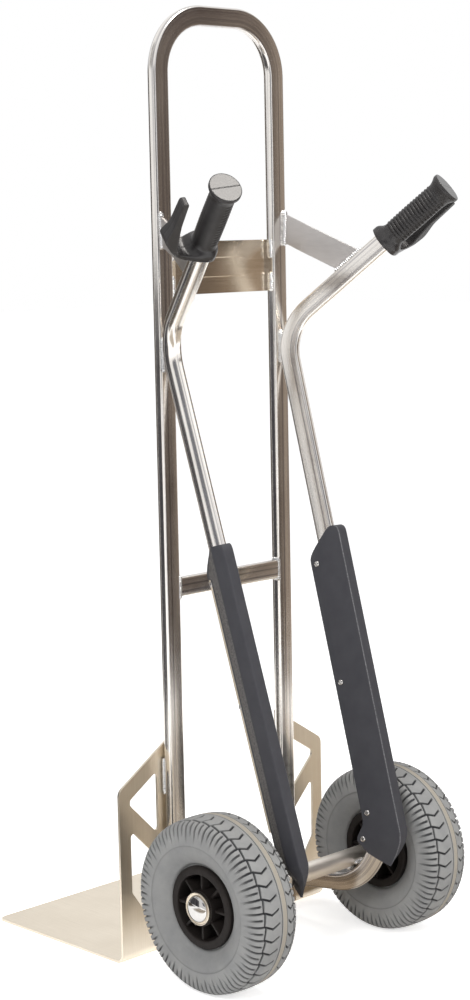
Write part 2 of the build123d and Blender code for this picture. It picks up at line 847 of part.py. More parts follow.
# Handle bracket: plate with one slight bend, from the upright's back to the front side of the handle
bracket_arm = (
    apex
    + handle_out * bracket_arm_station
    + handle_front * (tube_width / 2 + seat_gap)
    - across * (tube_depth / 2 - (tube_shoulder + tube_corner) / 2)
)
bracket_upright = Vector(
    upright_outer - tube_corner - bracket_sheet / 2, -tube_depth - 2 * weld_gap, bracket_height
)
bracket_normal = handle_out.cross(bracket_upright - bracket_arm).normalized()
bracket_plane = Plane(bracket_arm, x_dir=handle_out, z_dir=bracket_normal)
upright_edge = Vector(0, 1, 0).cross(bracket_normal).normalized()
bracket_corners = [
    bracket_arm - handle_out * (bracket_arm_length / 2),
    bracket_arm + handle_out * (bracket_arm_length / 2),
    bracket_upright + upright_edge * (bracket_upright_length / 2),
    bracket_upright - upright_edge * (bracket_upright_length / 2),
]
bracket_span = bracket_arm - bracket_upright
bracket_bend = bracket_upright + bracket_span * bracket_bend_share + bracket_normal * bracket_bend_rise
bend_section = Plane(bracket_upright, x_dir=upright_edge.cross(bracket_normal), z_dir=upright_edge)
bend_spot = bend_section.to_local_coords(bracket_bend)
past_arm = bend_section.to_local_coords(bracket_arm + (bracket_arm - bracket_bend))
with BuildPart() as handle_bracket:
    with BuildSketch(bend_section):
        with BuildLine() as bent_line:
            Polyline((0, 0), (bend_spot.X, bend_spot.Y), (past_arm.X, past_arm.Y))
        trace(bent_line.wire(), bracket_sheet)
    extrude(amount=bracket_span.length, both=True)
    with BuildSketch(bracket_plane):
        with BuildLine():
            Polyline(*[bracket_plane.to_local_coords(corner) for corner in bracket_corners], close=True)
        make_face()
    extrude(amount=bracket_upright_length, both=True, mode=Mode.INTERSECT)
save_pair(handle_bracket.part, "handle_bracket")

# Welds between the cross tube and the uprights: one up the back, one over and one under
with BuildPart() as cross_tube_welds:
    joint_x = upright_inner + weld_bead / 4
    joint_back = -tube_depth + weld_bead / 2
    low = cross_tube_height - tube_width / 2
    high = cross_tube_height + tube_width / 2
    weld((joint_x, joint_back, low), (joint_x, joint_back, high), weld_bead)
    for level in (low, high):
        weld((joint_x, joint_back, level), (joint_x, -tube_depth / 2, level), weld_bead)
    mirror(about=Plane.YZ)
save(cross_tube_welds.part, "cross_tube_welds")

# Welds at the corners of the upper panel
with BuildPart() as panel_welds:
    bead_x = panel_end - weld_bead / 4
    bead_y = panel_end_y - panel_sheet / 2
    for bottom in (panel_bottom + weld_bead, panel_bottom + panel_height - panel_weld_length - weld_bead):
        weld((bead_x, bead_y, bottom), (bead_x, bead_y, bottom + panel_weld_length), weld_bead)
    mirror(about=Plane.YZ)
save(panel_welds.part, "panel_welds")

# Welds either side of the rear tube's bend, where it meets the back of the upright
crest = (
    apex
    - arm_up * (apex_tangent - apex_bend * math.sin(crest_turn))
    + bend_inward * (apex_bend * (1 - math.cos(crest_turn)))
)
with BuildPart() as arm_welds:
    for spread in (-arm_weld_spread, arm_weld_spread):
        bead_x = min(crest.X + spread, upright_outer - tube_corner)
        low = Vector(bead_x, -tube_depth - weld_gap, crest.Z - arm_weld_length / 2)
        weld(low, low + Vector(0, 0, arm_weld_length), weld_bead)
    mirror(about=Plane.YZ)
save(arm_welds.part, "arm_welds")

# Welds over and under the foot of the rear tube
with BuildPart() as foot_welds:
    for level in (foot.Z - tube_width / 2, foot.Z + tube_width / 2):
        inner = Vector(foot.X - tube_depth / 3, -tube_depth, level)
        weld(inner, inner + Vector(tube_depth / 2, 0, 0), weld_bead)
    mirror(about=Plane.YZ)
save(foot_welds.part, "foot_welds")

# Welds in the grooves between the round front of the uprights and the toe plate's wall
with BuildPart() as toe_plate_welds:
    groove_x = upright_x + groove_weld_spread
    weld(
        (groove_x, -weld_bead, wing_weld_bottom),
        (groove_x, -weld_bead, wing_weld_bottom + wing_weld_length),
        groove_weld_bead,
    )
    groove_x = upright_x - groove_weld_spread
    wall_weld_top = back_wall_height - 2 * weld_bead
    weld(
        (groove_x, -weld_bead, wall_weld_top - wall_weld_length),
        (groove_x, -weld_bead, wall_weld_top),
        groove_weld_bead,
    )
    mirror(about=Plane.YZ)
save(toe_plate_welds.part, "toe_plate_welds")

# Welds along both sides of the line where the axle tube lies in the heel of the rear tube
heel_centre = heel + heel_middle * heel_bend
axle_centre = Vector(0, axle_y, axle_z)
carry = Vector(0, axle_y - heel_centre.Y, axle_z - heel_centre.Z).normalized()
with BuildPart() as axle_welds:
    for spread in (-axle_weld_spread, axle_weld_spread):
        bead = axle_centre + carry.rotate(Axis.X, spread) * (axle_tube_diameter / 2 + weld_bead / 2)
        inner = bead + Vector(heel.X - tube_depth / 3, 0, 0)
        weld(inner, inner + Vector(tube_depth * 2 / 3, 0, 0), weld_bead)
    mirror(about=Plane.YZ)
save(axle_welds.part, "axle_welds")

# Welds along both ends of the handle brackets
with BuildPart() as bracket_welds:
    weld(bracket_corners[0], bracket_corners[1], weld_bead)
    weld(bracket_corners[2], bracket_corners[3], weld_bead)
    mirror(about=Plane.YZ)
save(bracket_welds.part, "bracket_welds")
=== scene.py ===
import json
import math

import bpy
import numpy as np
from mathutils import Matrix


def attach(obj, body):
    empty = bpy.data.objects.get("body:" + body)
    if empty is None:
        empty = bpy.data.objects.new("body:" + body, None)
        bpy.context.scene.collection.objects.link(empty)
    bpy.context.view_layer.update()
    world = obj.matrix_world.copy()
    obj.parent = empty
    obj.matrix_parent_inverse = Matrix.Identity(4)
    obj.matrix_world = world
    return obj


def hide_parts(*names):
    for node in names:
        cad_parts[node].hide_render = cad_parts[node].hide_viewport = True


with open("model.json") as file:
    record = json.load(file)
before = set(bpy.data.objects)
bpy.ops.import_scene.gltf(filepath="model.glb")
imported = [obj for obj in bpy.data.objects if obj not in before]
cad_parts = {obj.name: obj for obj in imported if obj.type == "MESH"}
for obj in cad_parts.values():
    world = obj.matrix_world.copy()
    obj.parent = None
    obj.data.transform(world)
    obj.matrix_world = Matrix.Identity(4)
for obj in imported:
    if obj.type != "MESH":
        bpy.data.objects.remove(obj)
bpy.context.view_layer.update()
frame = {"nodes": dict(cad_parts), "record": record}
nodes = frame["nodes"]
sides = (("left", -1.0), ("right", 1.0))
print("frame loaded:", len(nodes), "nodes")


# small helpers, all on whole arrays

def vec(*numbers):
    return np.array(numbers, float)


def unit(vectors):
    vectors = np.asarray(vectors, float)
    return vectors / np.linalg.norm(vectors, axis=-1, keepdims=True)


def smoothStep(low, high, value):  # 3t^2 - 2t^3 between low and high
    t = np.clip((value - low) / (high - low), 0.0, 1.0)
    return t * t * (3.0 - 2.0 * t)


def window(rise, fall, value):  # up over the rise, down again over the fall
    return smoothStep(*rise, value) * (1 - smoothStep(*fall, value))


def turned(vectors, axis, angles):  # Rodrigues: v cos a + (k x v) sin a + k (k.v)(1 - cos a)
    angles = np.asarray(angles, float)[..., None]
    along = np.sum(vectors * axis, axis=-1, keepdims=True)
    return (vectors * np.cos(angles) + np.cross(axis, vectors) * np.sin(angles)
            + axis * along * (1.0 - np.cos(angles)))


def squareTo(axis):  # two directions square to the axis and to each other
    first = unit(np.cross(axis, vec(0.31, 0.27, 0.91)))  # any direction that no axis here has
    return first, np.cross(axis, first)


def running(points, closed=False):  # distance from the first point to each
    ends = {"append": points[:1]} if closed else {}
    return np.append(0, np.cumsum(np.linalg.norm(np.diff(points, axis=0, **ends), axis=1)))


# surfaces: a grid of points (rows, columns, 3) becomes vertices, quads and one UV pair per corner

def surface(points, wrapRows=False, wrapColumns=False, along=None, around=None, flip=False):
    rows, columns = points.shape[:2]
    rowSpans = rows if wrapRows else rows - 1
    columnSpans = columns if wrapColumns else columns - 1
    i, j = (a.ravel() for a in np.meshgrid(np.arange(rowSpans), np.arange(columnSpans), indexing="ij"))
    cornerRows = np.stack([i, i + 1, i + 1, i], 1)
    cornerColumns = np.stack([j, j, j + 1, j + 1], 1)
    if flip:
        cornerRows, cornerColumns = cornerRows[:, ::-1], cornerColumns[:, ::-1]
    quads = (cornerRows % rows) * columns + cornerColumns % columns
    along = np.arange(rowSpans + 1) / rowSpans if along is None else along
    around = np.arange(columnSpans + 1) / columnSpans if around is None else around
    uv = np.stack([along[cornerRows], around[cornerColumns]], -1)
    return points.reshape(-1, 3), quads, uv.reshape(-1, 2)


def joined(*parts):  # several surfaces as one
    starts = np.cumsum([0] + [len(p[0]) for p in parts[:-1]])
    quads = np.concatenate([p[1] + s for p, s in zip(parts, starts)])
    return np.concatenate([p[0] for p in parts]), quads, np.concatenate([p[2] for p in parts])


def mirrored(part):  # x to -x, with the corners reversed so that faces still point outwards
    points, quads, uv = part
    return points * vec(-1, 1, 1), quads[:, ::-1], uv.reshape(-1, 4, 2)[:, ::-1].reshape(-1, 2)


def camel(name):  # front_loop becomes frontLoop
    first, *rest = name.split("_")
    return first + "".join(word.capitalize() for word in rest)


def addPiece(nodeName, part, slot, finish=None, body="frame", sharpAngle=35.0, cut=None):
    # a piece in the place of a CAD node and named after it, in its slot's finish if no other is given
    points, quads, uv = part
    name = camel(nodeName)
    mesh = bpy.data.meshes.new(name)
    mesh.vertices.add(len(points))
    mesh.vertices.foreach_set("co", np.ascontiguousarray(points, np.float32).ravel())
    mesh.loops.add(quads.size)
    mesh.loops.foreach_set("vertex_index", np.ascontiguousarray(quads, np.int32).ravel())
    mesh.polygons.add(len(quads))
    mesh.polygons.foreach_set("loop_start", np.arange(0, quads.size, 4, dtype=np.int32))
    mesh.update(calc_edges=True)
    layer = mesh.uv_layers.new(name="UVMap")
    layer.data.foreach_set("uv", np.ascontiguousarray(uv, np.float32).ravel())
    mesh.polygons.foreach_set("use_smooth", np.ones(len(quads), bool))
    mesh.set_sharp_from_angle(angle=math.radians(sharpAngle))
    if cut is not None:  # painted shade: how dark each vertex is painted, 0 to 1, mostly by how deep it lies in a groove
        depths = mesh.attributes.new("cut", "FLOAT", "POINT")
        depths.data.foreach_set("value", cut.ravel().astype(np.float32))
    mesh.validate()
    mesh.materials.append(finishes[finish or camel(slot)])
    piece = bpy.data.objects.new(name, mesh)
    bpy.context.scene.collection.objects.link(piece)
    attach(piece, body)
    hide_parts(nodeName)


def addPair(nodeName, part, slot, **look):  # the right one as made, the left one mirrored
    addPiece("right_" + nodeName, part, slot, **look)
    addPiece("left_" + nodeName, mirrored(part), slot, **look)


# materials, built from nodes: a socket gets a number, a colour, or the output that feeds it

def fill(made, sockets):
    for key, value in sockets.items():
        if isinstance(value, bpy.types.NodeSocket):
            made.id_data.links.new(value, made.inputs[key])
        else:
            made.inputs[key].default_value = value


def node(tree, kind, sockets=(), **settings):
    made = tree.nodes.new("ShaderNode" + kind)
    for key, value in settings.items():
        setattr(made, key, value)
    fill(made, dict(sockets))
    return made


def newMaterial(name):
    material = bpy.data.materials.new(name)
    material.use_nodes = True
    tree = material.node_tree
    return material, tree, tree.nodes["Principled BSDF"]


def reopened(material):  # its tree, its shader and the colour that feeds it
    shader = material.node_tree.nodes["Principled BSDF"]
    return material.node_tree, shader, shader.inputs["Base Color"].links[0].from_socket


def coordinates(tree, kind, scale=None):  # object or UV coordinates, stretched where a scale is given
    place = node(tree, "TexCoord").outputs[kind]
    return node(tree, "Mapping", {"Vector": place, "Scale": scale}).outputs["Vector"] if scale else place


def axes(tree, kind):  # the same coordinates as X, Y and Z
    return node(tree, "SeparateXYZ", {"Vector": coordinates(tree, kind)}).outputs


def noise(tree, place, scale, detail, roughness=0.5):  # 0 to 1, by the place
    sockets = {"Vector": place, "Scale": scale, "Detail": detail, "Roughness": roughness}
    return node(tree, "TexNoise", sockets).outputs["Fac"]


def maths(tree, operation, *sources):  # one operation on outputs or numbers
    return node(tree, "Math", enumerate(sources), operation=operation).outputs["Value"]


def remapped(tree, source, limits, results, **settings):  # limits to results, held beyond them
    names = ("Value", "From Min", "From Max", "To Min", "To Max")
    return node(tree, "MapRange", zip(names, (source, *limits, *results)), **settings).outputs["Result"]


def ramp(tree, source, stops):  # a tone for each level of the source
    made = node(tree, "ValToRGB", {"Fac": source})
    for element, (place, colour) in zip(made.color_ramp.elements, stops):
        element.position = place
        element.color = (*colour, 1.0)
    return made.outputs["Color"]


def mixed(tree, factor, first, second, blend="MIX"):  # two colours
    sockets = {"Factor": factor, 6: first, 7: second}
    return node(tree, "Mix", sockets, data_type="RGBA", blend_type=blend).outputs[2]


def bumped(tree, height, distance, strength=1.0, **settings):  # the normal tilted by the height's slope
    sockets = {"Height": height, "Distance": distance, "Strength": strength}
    return node(tree, "Bump", sockets, **settings)


skin = {"brushed": (1.0, 4.0, 0.7), "patches": (14.0, 3.0), "patchShare": 0.45, "steelLevels": (0.3, 0.7),
        "steelDepth": 0.0004, "scuffs": (38.0, 5.0, 0.6), "moulded": 2.0, "plasticLevels": (0.35, 0.7),
        "plasticDepth": 0.0003}


def brushedSteel(name, dark, light, rough, kind, brushing, grain=0.15):
    # fine lines stretched along the brushing, and slow patches that shift tone and gloss
    material, tree, shader = newMaterial(name)
    lines = noise(tree, coordinates(tree, kind, brushing), *skin["brushed"])
    patches = noise(tree, coordinates(tree, "Object"), *skin["patches"])
    both = node(tree, "Mix", {"Factor": skin["patchShare"], "A": lines, "B": patches}).outputs["Result"]
    fill(shader, {"Base Color": ramp(tree, both, zip(skin["steelLevels"], (dark, light))),
                  "Roughness": remapped(tree, both, skin["steelLevels"], rough), "Metallic": 1.0,
                  "Normal": bumped(tree, lines, skin["steelDepth"], grain).outputs["Normal"]})
    return material


def mouldedPlastic(name, dark, light, rough, grainScale, grain, shine=0.5):
    # fine grain in the surface, faint scuffs in the tone
    material, tree, shader = newMaterial(name)
    place = coordinates(tree, "Object")
    scuffs = noise(tree, place, *skin["scuffs"])
    grains = noise(tree, place, grainScale, skin["moulded"])
    fill(shader, {"Base Color": ramp(tree, scuffs, zip(skin["plasticLevels"], (dark, light))),
                  "Roughness": rough, "Specular IOR Level": shine,
                  "Normal": bumped(tree, grains, skin["plasticDepth"], grain).outputs["Normal"]})
    return material


steels = {  # dark and light tone, roughness, coordinates, brushing, grain
    "polishedTube": ((0.74, 0.70, 0.655), (0.93, 0.90, 0.86), (0.11, 0.24), "UV", (6, 900, 1)),
    "brushedSheet": ((0.72, 0.63, 0.50), (0.88, 0.80, 0.68), (0.26, 0.42), "Object", (700, 12, 12)),
    "panelSheet": ((0.70, 0.60, 0.47), (0.90, 0.79, 0.64), (0.15, 0.25), "Object", (12, 12, 500)),
    "bracketSheet": ((0.50, 0.475, 0.46), (0.59, 0.565, 0.55), (0.34, 0.46), "Object", (40, 40, 300)),
    "weldBead": ((0.50, 0.50, 0.51), (0.95, 0.95, 0.95), (0.10, 0.3), "Object", (220, 220, 220)),
    "axleSteel": ((0.84, 0.78, 0.71), (0.97, 0.92, 0.86), (0.34, 0.46), "Object", (5, 90, 90), 0.05),
    "brightFittings": ((0.50, 0.485, 0.47), (0.64, 0.625, 0.61), (0.04, 0.09), "Object", (60, 60, 60), 0.02),
}
plastics = {  # dark and light tone, roughness, scale of the grain, grain, shine
    "greyTyre": ((0.245, 0.247, 0.247), (0.295, 0.295, 0.29), 0.7, 900.0, 0.12),
    "rimPlastic": ((0.014, 0.0115, 0.0105), (0.021, 0.0175, 0.016), 0.55, 700.0, 0.1, 0.15),
    "gripPlastic": ((0.020, 0.0185, 0.019), (0.030, 0.028, 0.028), 0.42, 800.0, 0.02, 0.45),
    "runnerPlastic": ((0.040, 0.040, 0.047), (0.048, 0.048, 0.055), 0.62, 800.0, 0.15, 0.4),
    "cagePlastic": ((0.62, 0.58, 0.48), (0.7, 0.66, 0.56), 0.5, 500.0, 0.1),
}
finishes = {name: brushedSteel(name, *look) for name, look in steels.items()}
finishes.update({name: mouldedPlastic(name, *look) for name, look in plastics.items()})
finishes["groundSteel"] = finishes["axleSteel"]
marks = {
    "rib": (0.0038, 0.0043), "ribShare": 0.8, "ribTan": (0.36, 0.32, 0.26, 1),
    # painted shade: the colour painted into the tyre's grooves
    "groove": (0.035, 0.036, 0.04, 1),
    # painted reflection lines on the polished tube: their scale and tones
    "drawing": (1.2, 190, 1), "drawn": [(0.36, (0.60, 0.60, 0.63)), (0.5, (1, 1, 1))],
    "waves": 8.0, "waveDepth": 0.004, "bow": 0.6, "runnerGrain": 420.0,
    # painted light: a paler outer wall and a highlight line on the back corner; rise, fall, dark and light tone
    "outerWall": ((0.0985, 0.1005), (0.1262, 0.1275), (0.055, 0.052, 0.053), (0.145, 0.137, 0.132)),
    "backCorner": ((0.0562, 0.0572), (0.0576, 0.0586), (0.08, 0.08, 0.086), (0.18, 0.18, 0.188)),
}


def tyreMarks(material):  # a tan centre rib by the distance across the tread, and painted shade in the grooves and on the sidewall by the cut attribute
    tree, shader, tone = reopened(material)
    across = maths(tree, "ABSOLUTE", axes(tree, "UV")["X"])
    tone = mixed(tree, remapped(tree, across, marks["rib"], (marks["ribShare"], 0.0)), tone, marks["ribTan"])
    cut = node(tree, "Attribute", attribute_name="cut").outputs["Fac"]
    fill(shader, {"Base Color": mixed(tree, cut, tone, marks["groove"])})


def paintedReflectionLines(material):  # painted reflection: long dark lines along the tube by the distance around it, streaks of reflection painted into the colour
    tree, shader, tone = reopened(material)
    lines = noise(tree, coordinates(tree, "UV", marks["drawing"]), 1.0, 1.0)
    fill(shader, {"Base Color": mixed(tree, 1.0, tone, ramp(tree, lines, marks["drawn"]), "MULTIPLY")})


def wavySheet(material):  # slow waves over a bow of height -bow x^2, both only as bump
    tree, shader, _ = reopened(material)
    x = axes(tree, "Object")["X"]
    bowed = bumped(tree, maths(tree, "MULTIPLY", x, x), marks["bow"], invert=True)
    waves = noise(tree, coordinates(tree, "Object"), marks["waves"], 0.0)
    waved = bumped(tree, waves, marks["waveDepth"])
    fill(waved, {"Normal": bowed.outputs["Normal"]})
    fill(shader.inputs["Normal"].links[0].from_node, {"Normal": waved.outputs["Normal"]})


def runnerMarks(material):  # by the distance around: the outer wall grained and painted paler, as if lit by the key lamp, and a painted highlight along the back corner
    tree, shader, tone = reopened(material)
    around = axes(tree, "UV")["Y"]
    grain = noise(tree, coordinates(tree, "Object"), marks["runnerGrain"], 3.0)
    for rise, fall, dark, light in (marks["outerWall"], marks["backCorner"]):
        inside = maths(tree, "MULTIPLY", remapped(tree, around, rise, (0.0, 1.0)),
                       remapped(tree, around, fall, (1.0, 0.0)))
        tone = mixed(tree, inside, tone, ramp(tree, grain, [(0.35, dark), (0.65, light)]))
    fill(shader, {"Base Color": tone})


tyreMarks(finishes["greyTyre"])
# painted reflection streaks on the polished tubes
paintedReflectionLines(finishes["polishedTube"])
wavySheet(finishes["panelSheet"])
runnerMarks(finishes["runnerPlastic"])
for sub in frame["record"]["subparts"]:
    shown = nodes[sub["node"]]
    shown.data.materials.clear()
    shown.data.materials.append(finishes[camel(sub["material_slot"])])
nodes["upper_panel"].data.materials[0] = finishes["panelSheet"]
softEdge = {"merge": 0.00002, "width": 0.0007, "segments": 2, "angle": 25.0}
# soft edges on the sheet parts: live modifiers on CAD objects, whose own meshes stay as they are
for name in ("toe_plate", "upper_panel", "left_clamp_strip", "right_clamp_strip"):
    merge = nodes[name].modifiers.new("merge", "WELD")
    merge.merge_threshold = softEdge["merge"]
    soft = nodes[name].modifiers.new("soft", "BEVEL")
    soft.width, soft.segments = softEdge["width"], softEdge["segments"]
    soft.limit_method, soft.angle_limit = "ANGLE", math.radians(softEdge["angle"])
print("finishes made:", len(steels) + len(plastics))


# D-section tube: half circle over straight sides, rounded corners at the flat; x across, y out from the flat

tube = {"width": 0.030, "depth": 0.023, "corner": 0.004, "wall": 0.002, "steps": 14, "spacing": 0.02,
        "arcSpacing": 0.004}
tubeCrown = tube["depth"] / 2 - tube["width"] / 2  # height of the half circle's centre


def tubeOutline(grow=0.0):  # the crown's half circle, then a quarter circle at each corner of the flat
    half = tube["width"] / 2 + grow
    corner = tube["corner"] + grow
    flat = -tube["depth"] / 2 - grow
    crown = np.linspace(0.0, math.pi, 3 * tube["steps"])
    turn = np.linspace(math.pi, 1.5 * math.pi, tube["steps"] // 2)
    back = np.stack([half * np.cos(crown), tubeCrown + half * np.sin(crown)], 1)
    leftCorner = np.stack([-half + corner + corner * np.cos(turn), flat + corner + corner * np.sin(turn)], 1)
    rightCorner = leftCorner[::-1] * vec(-1, 1)
    return np.concatenate([back, leftCorner, rightCorner])


def bentPath(points, bends, flat):
    # straight runs joined by arcs; each arc turns the running direction and the flat about the bend's axis
    centres, ahead, flats = [], [], []
    start = points[0]
    for k in range(len(points) - 1):
        into = unit(points[k + 1] - points[k])
        tangent = 0.0
        if k < len(bends):
            out = unit(points[k + 2] - points[k + 1])
            turn = math.acos(float(np.dot(into, out)))
            tangent = bends[k] * math.tan(turn / 2)
        finish = points[k + 1] - into * tangent
        length = np.linalg.norm(finish - start)
        share = np.linspace(0.0, 1.0, max(2, int(length / tube["spacing"])))[:, None]
        centres.append(start + (finish - start) * share)
        ahead.append(np.broadcast_to(into, (len(share), 3)))
        flats.append(np.broadcast_to(flat, (len(share), 3)))
        if k < len(bends):
            axis = unit(np.cross(into, out))
            angles = np.linspace(0.0, turn, max(8, int(bends[k] * turn / tube["arcSpacing"])))[1:-1]
            pivot = finish + np.cross(axis, into) * bends[k]
            centres.append(pivot + turned(np.broadcast_to(finish - pivot, (len(angles), 3)), axis, angles))
            ahead.append(turned(np.broadcast_to(into, (len(angles), 3)), axis, angles))
            flats.append(turned(np.broadcast_to(flat, (len(angles), 3)), axis, angles))
            flat = turned(flat[None], axis, [turn])[0]
            start = points[k + 1] + out * tangent
    return np.concatenate(centres), np.concatenate(ahead), np.concatenate(flats)


def sweptTube(centres, ahead, flats):
    # outline carried along the path: centre + x (ahead cross flat) - y flat; the outer skin and the inner one
    across = np.cross(ahead, flats)
    outlines = tubeOutline(), tubeOutline(-tube["wall"])
    return [centres[:, None] + outline[None, :, :1] * across[:, None] - outline[None, :, 1:] * flats[:, None]
            for outline in outlines]


def closedTube(skins):  # outer skin out, inner skin back
    outer, inner = skins
    points = np.concatenate([outer, inner[::-1]])
    steps = np.linalg.norm(np.diff(points, axis=0, append=points[:1]).mean(axis=1), axis=-1)
    return surface(points, True, True, np.append(0, np.cumsum(steps)), running(outer[0], True), flip=True)


loop = {"spacing": 0.242, "height": 1.432, "bend": 0.085, "foot": 0.018}
loopX, loopY = loop["spacing"] / 2, -tube["depth"] / 2
loopTop = loop["height"] - tube["width"] / 2
loopCorners = [vec(-loopX, loopY, loop["foot"]), vec(-loopX, loopY, loopTop),
               vec(loopX, loopY, loopTop), vec(loopX, loopY, loop["foot"])]
loopSkins = sweptTube(*bentPath(loopCorners, [loop["bend"]] * 2, vec(0, -1, 0)))
addPiece("front_loop", closedTube(loopSkins), "polished_tube")

rear = {"apex": vec(0.1275, -0.026722, 0.946), "apexBend": 0.080, "lean": 16.1, "toeIn": 1.6,
        "handleLength": 0.338, "handleRise": 39.2, "handleSplay": 23.8, "heelZ": 0.1035,
        "heelBend": 0.11556, "foot": vec(0.118, -0.023, 0.068), "gripWall": 0.006}
armUp = unit(vec(math.tan(math.radians(rear["toeIn"])), math.tan(math.radians(rear["lean"])), 1))
rise, splay = math.radians(rear["handleRise"]), math.radians(rear["handleSplay"])
handleOut = vec(math.sin(splay) * math.cos(rise), -math.cos(splay) * math.cos(rise), math.sin(rise))
outward = unit(np.cross(armUp, handleOut))
apex = rear["apex"]
gripEnd = apex + handleOut * rear["handleLength"]
heel = apex - armUp * ((apex[2] - rear["heelZ"]) / armUp[2])
footAhead = unit(rear["foot"] - heel)
rearSkins = sweptTube(*bentPath([gripEnd - handleOut * rear["gripWall"], apex, heel, rear["foot"]],
                                [rear["apexBend"], rear["heelBend"]], -outward))
for skin in rearSkins:  # the foot is cut to the flat back of the upright
    skin[-1] += footAhead * ((rear["foot"][1] - skin[-1][:, 1:2]) / footAhead[1])
addPair("rear_tube", closedTube(rearSkins), "polished_tube")

cross = {"height": 0.568, "gap": 0.0003}
crossEnds = [vec(x, loopY, cross["height"]) for x in (-loopX, loopX)]
crossSkins = sweptTube(*bentPath(crossEnds, [], vec(0, -1, 0)))
for skin in crossSkins:  # both ends coped: x = upright's middle less its half width at that depth
    back = skin[0, :, 1] - loopY
    flat, corner = -tube["depth"] / 2 + tube["corner"], tube["corner"]
    bulge = np.sqrt(np.maximum(0.0, tube["width"] ** 2 / 4 - np.maximum(0.0, back - tubeCrown) ** 2))
    nook = corner - np.sqrt(np.maximum(0.0, corner ** 2 - np.maximum(0.0, flat - back) ** 2))
    skin[-1, :, 0] = loopX - bulge + nook - cross["gap"]
    skin[0, :, 0] = -skin[-1, :, 0]
addPiece("mid_cross_tube", closedTube(crossSkins), "polished_tube")
print("tubes bent")


# wheels: every surface is a profile (distance along the axle, radius) carried round the axle

axle = {"y": -0.174, "z": 0.130, "track": 0.380}


def aroundAxle(side, out, radius, angle):  # (x, y, z) = centre + out along the axle, radius at the angle
    out, radius, angle = np.broadcast_arrays(out, radius, angle)
    x = side * (axle["track"] / 2 + out)
    return np.stack([x, axle["y"] + radius * np.cos(angle), axle["z"] + radius * np.sin(angle)], -1)


def lathe(origin, axis, profile, steps=96, closed=True):
    # profile of (along, radius) round an axis: origin + along axis + radius (cos a first + sin a second)
    profile = np.asarray(profile, float)
    angle = np.linspace(0.0, 2 * math.pi, steps, endpoint=False)[None, :, None]
    first, second = squareTo(axis)
    ring = np.cos(angle) * first + np.sin(angle) * second
    points = origin + profile[:, None, :1] * axis + profile[:, None, 1:] * ring
    girth = np.linspace(0.0, 2 * math.pi * profile[:, 1].max(), steps + 1)
    return surface(points, closed, True, running(profile, closed), girth, flip=True)


def rounded(corners, radius, steps=4):
    # each corner becomes a quadratic curve: (1-t)^2 before + 2t(1-t) corner + t^2 after
    corners = np.asarray(corners, float)
    before, after = np.roll(corners, 1, -2) - corners, np.roll(corners, -1, -2) - corners
    spans = [np.linalg.norm(x, axis=-1, keepdims=True) + 1e-9 for x in (before, after)]
    reach = np.minimum(np.reshape(radius, (-1, 1)), 0.45 * np.minimum(*spans))
    start = (corners + before / spans[0] * reach)[..., None, :]
    end = (corners + after / spans[1] * reach)[..., None, :]
    t = np.linspace(0.0, 1.0, steps)[:, None]
    curve = (1 - t) ** 2 * start + 2 * t * (1 - t) * corners[..., None, :] + t ** 2 * end
    return curve.reshape(*corners.shape[:-2], -1, 2)


tyre = {
    "radius": 0.130, "blocks": 40, "blockLength": 0.0204, "fine": 40,
    "side": [(0, 130), (12, 129.75), (22, 129.0), (29.5, 127.9), (34.5, 126.1), (38.2, 123.4), (40.8, 119.6),
             (42.5, 113.5), (43.5, 105.5), (44.1, 97), (43.5, 86), (39.6, 76), (34, 69), (28.6, 65),
             (25.2, 63.4)],
    "bead": (24.7, 52.4), "insideUv": 0.05,
    "across": (0, 2, 3.6, 4.3, 4.6, 4.9, 5.3, 5.6, 6, 6.6, 7.6, 8.5, 8.9, 9.4, 10.2, 12, 14, 16, 17.6, 18.9,
               20.2, 21.5, 23, 24.6, 26.2, 27.2, 27.7, 28.3, 29.2, 30.1, 30.7, 31.2, 32, 33.5, 35, 37, 39.5,
               42, 45, 48, 51, 54, 57, 60, 63, 66, 69, 70, 71, 72, 74, 79, 85, 91, 96, 99, 101.5, 104, 106,
               108),
    "pitch": (-2.1, -1.5, -1.1, -0.5, 0, 0.5, 1.1, 1.5, 2.1, 5.1, 8.1, 8.7, 9.1, 9.7, 10.2, 10.7, 11.3, 11.7,
              12.3, 15.3),
    "chevron": 0.0062, "sipeDepth": 0.0034, "sipe": (0.0012, 0.0018), "ringDepth": 0.0022,
    "saw": 0.0022, "sawZone": ((0.016, 0.027), (0.031, 0.040)), "band": (0.0088, 0.0290),
    "ring": ((0.0045, 0.0049), (0.0055, 0.0059)), "edge": ((0.0276, 0.0284), (0.0300, 0.0308)),
    "bandSipes": ((0.0088, 0.0094), (0.0300, 0.0305)), "longSipes": ((0.030, 0.031), (0.048, 0.068)),
    "shortSipes": ((0.0315, 0.0335), (0.044, 0.060)), "shortDepth": 0.9,
    "sidewall": ((0.0700, 0.0720), (0.098, 0.103)), "sidewallStep": 0.0012,
    "ribShift": 0.011, "ribReach": 0.0295,
    "ringShade": 0.6, "shoulder": (0.034, 0.060), "shoulderShade": 0.5, "line": 0.071, "lineHalf": 0.0007,
    "lineShade": 0.3, "sidewallShade": 0.08, "sharp": 30.0,
}


def tyreSide():
    # half profile from the crown to the bead's foot, a Catmull-Rom curve through the measured points
    knots = np.array(tyre["side"]) / 1000.0
    fine = np.linspace(0, len(knots) - 1, tyre["fine"] * len(knots))
    k = np.clip(fine.astype(int), 0, len(knots) - 2)
    f = (fine - k)[:, None]
    before, after = knots[np.maximum(k - 1, 0)], knots[np.minimum(k + 2, len(knots) - 1)]
    a, b = knots[k], knots[k + 1]
    curve = 0.5 * (2 * a + (b - before) * f + (2 * before - 5 * a + 4 * b - after) * f ** 2
                   + (3 * a - before - 3 * b + after) * f ** 3)
    return np.append(curve, [np.array(tyre["bead"]) / 1000.0], 0)


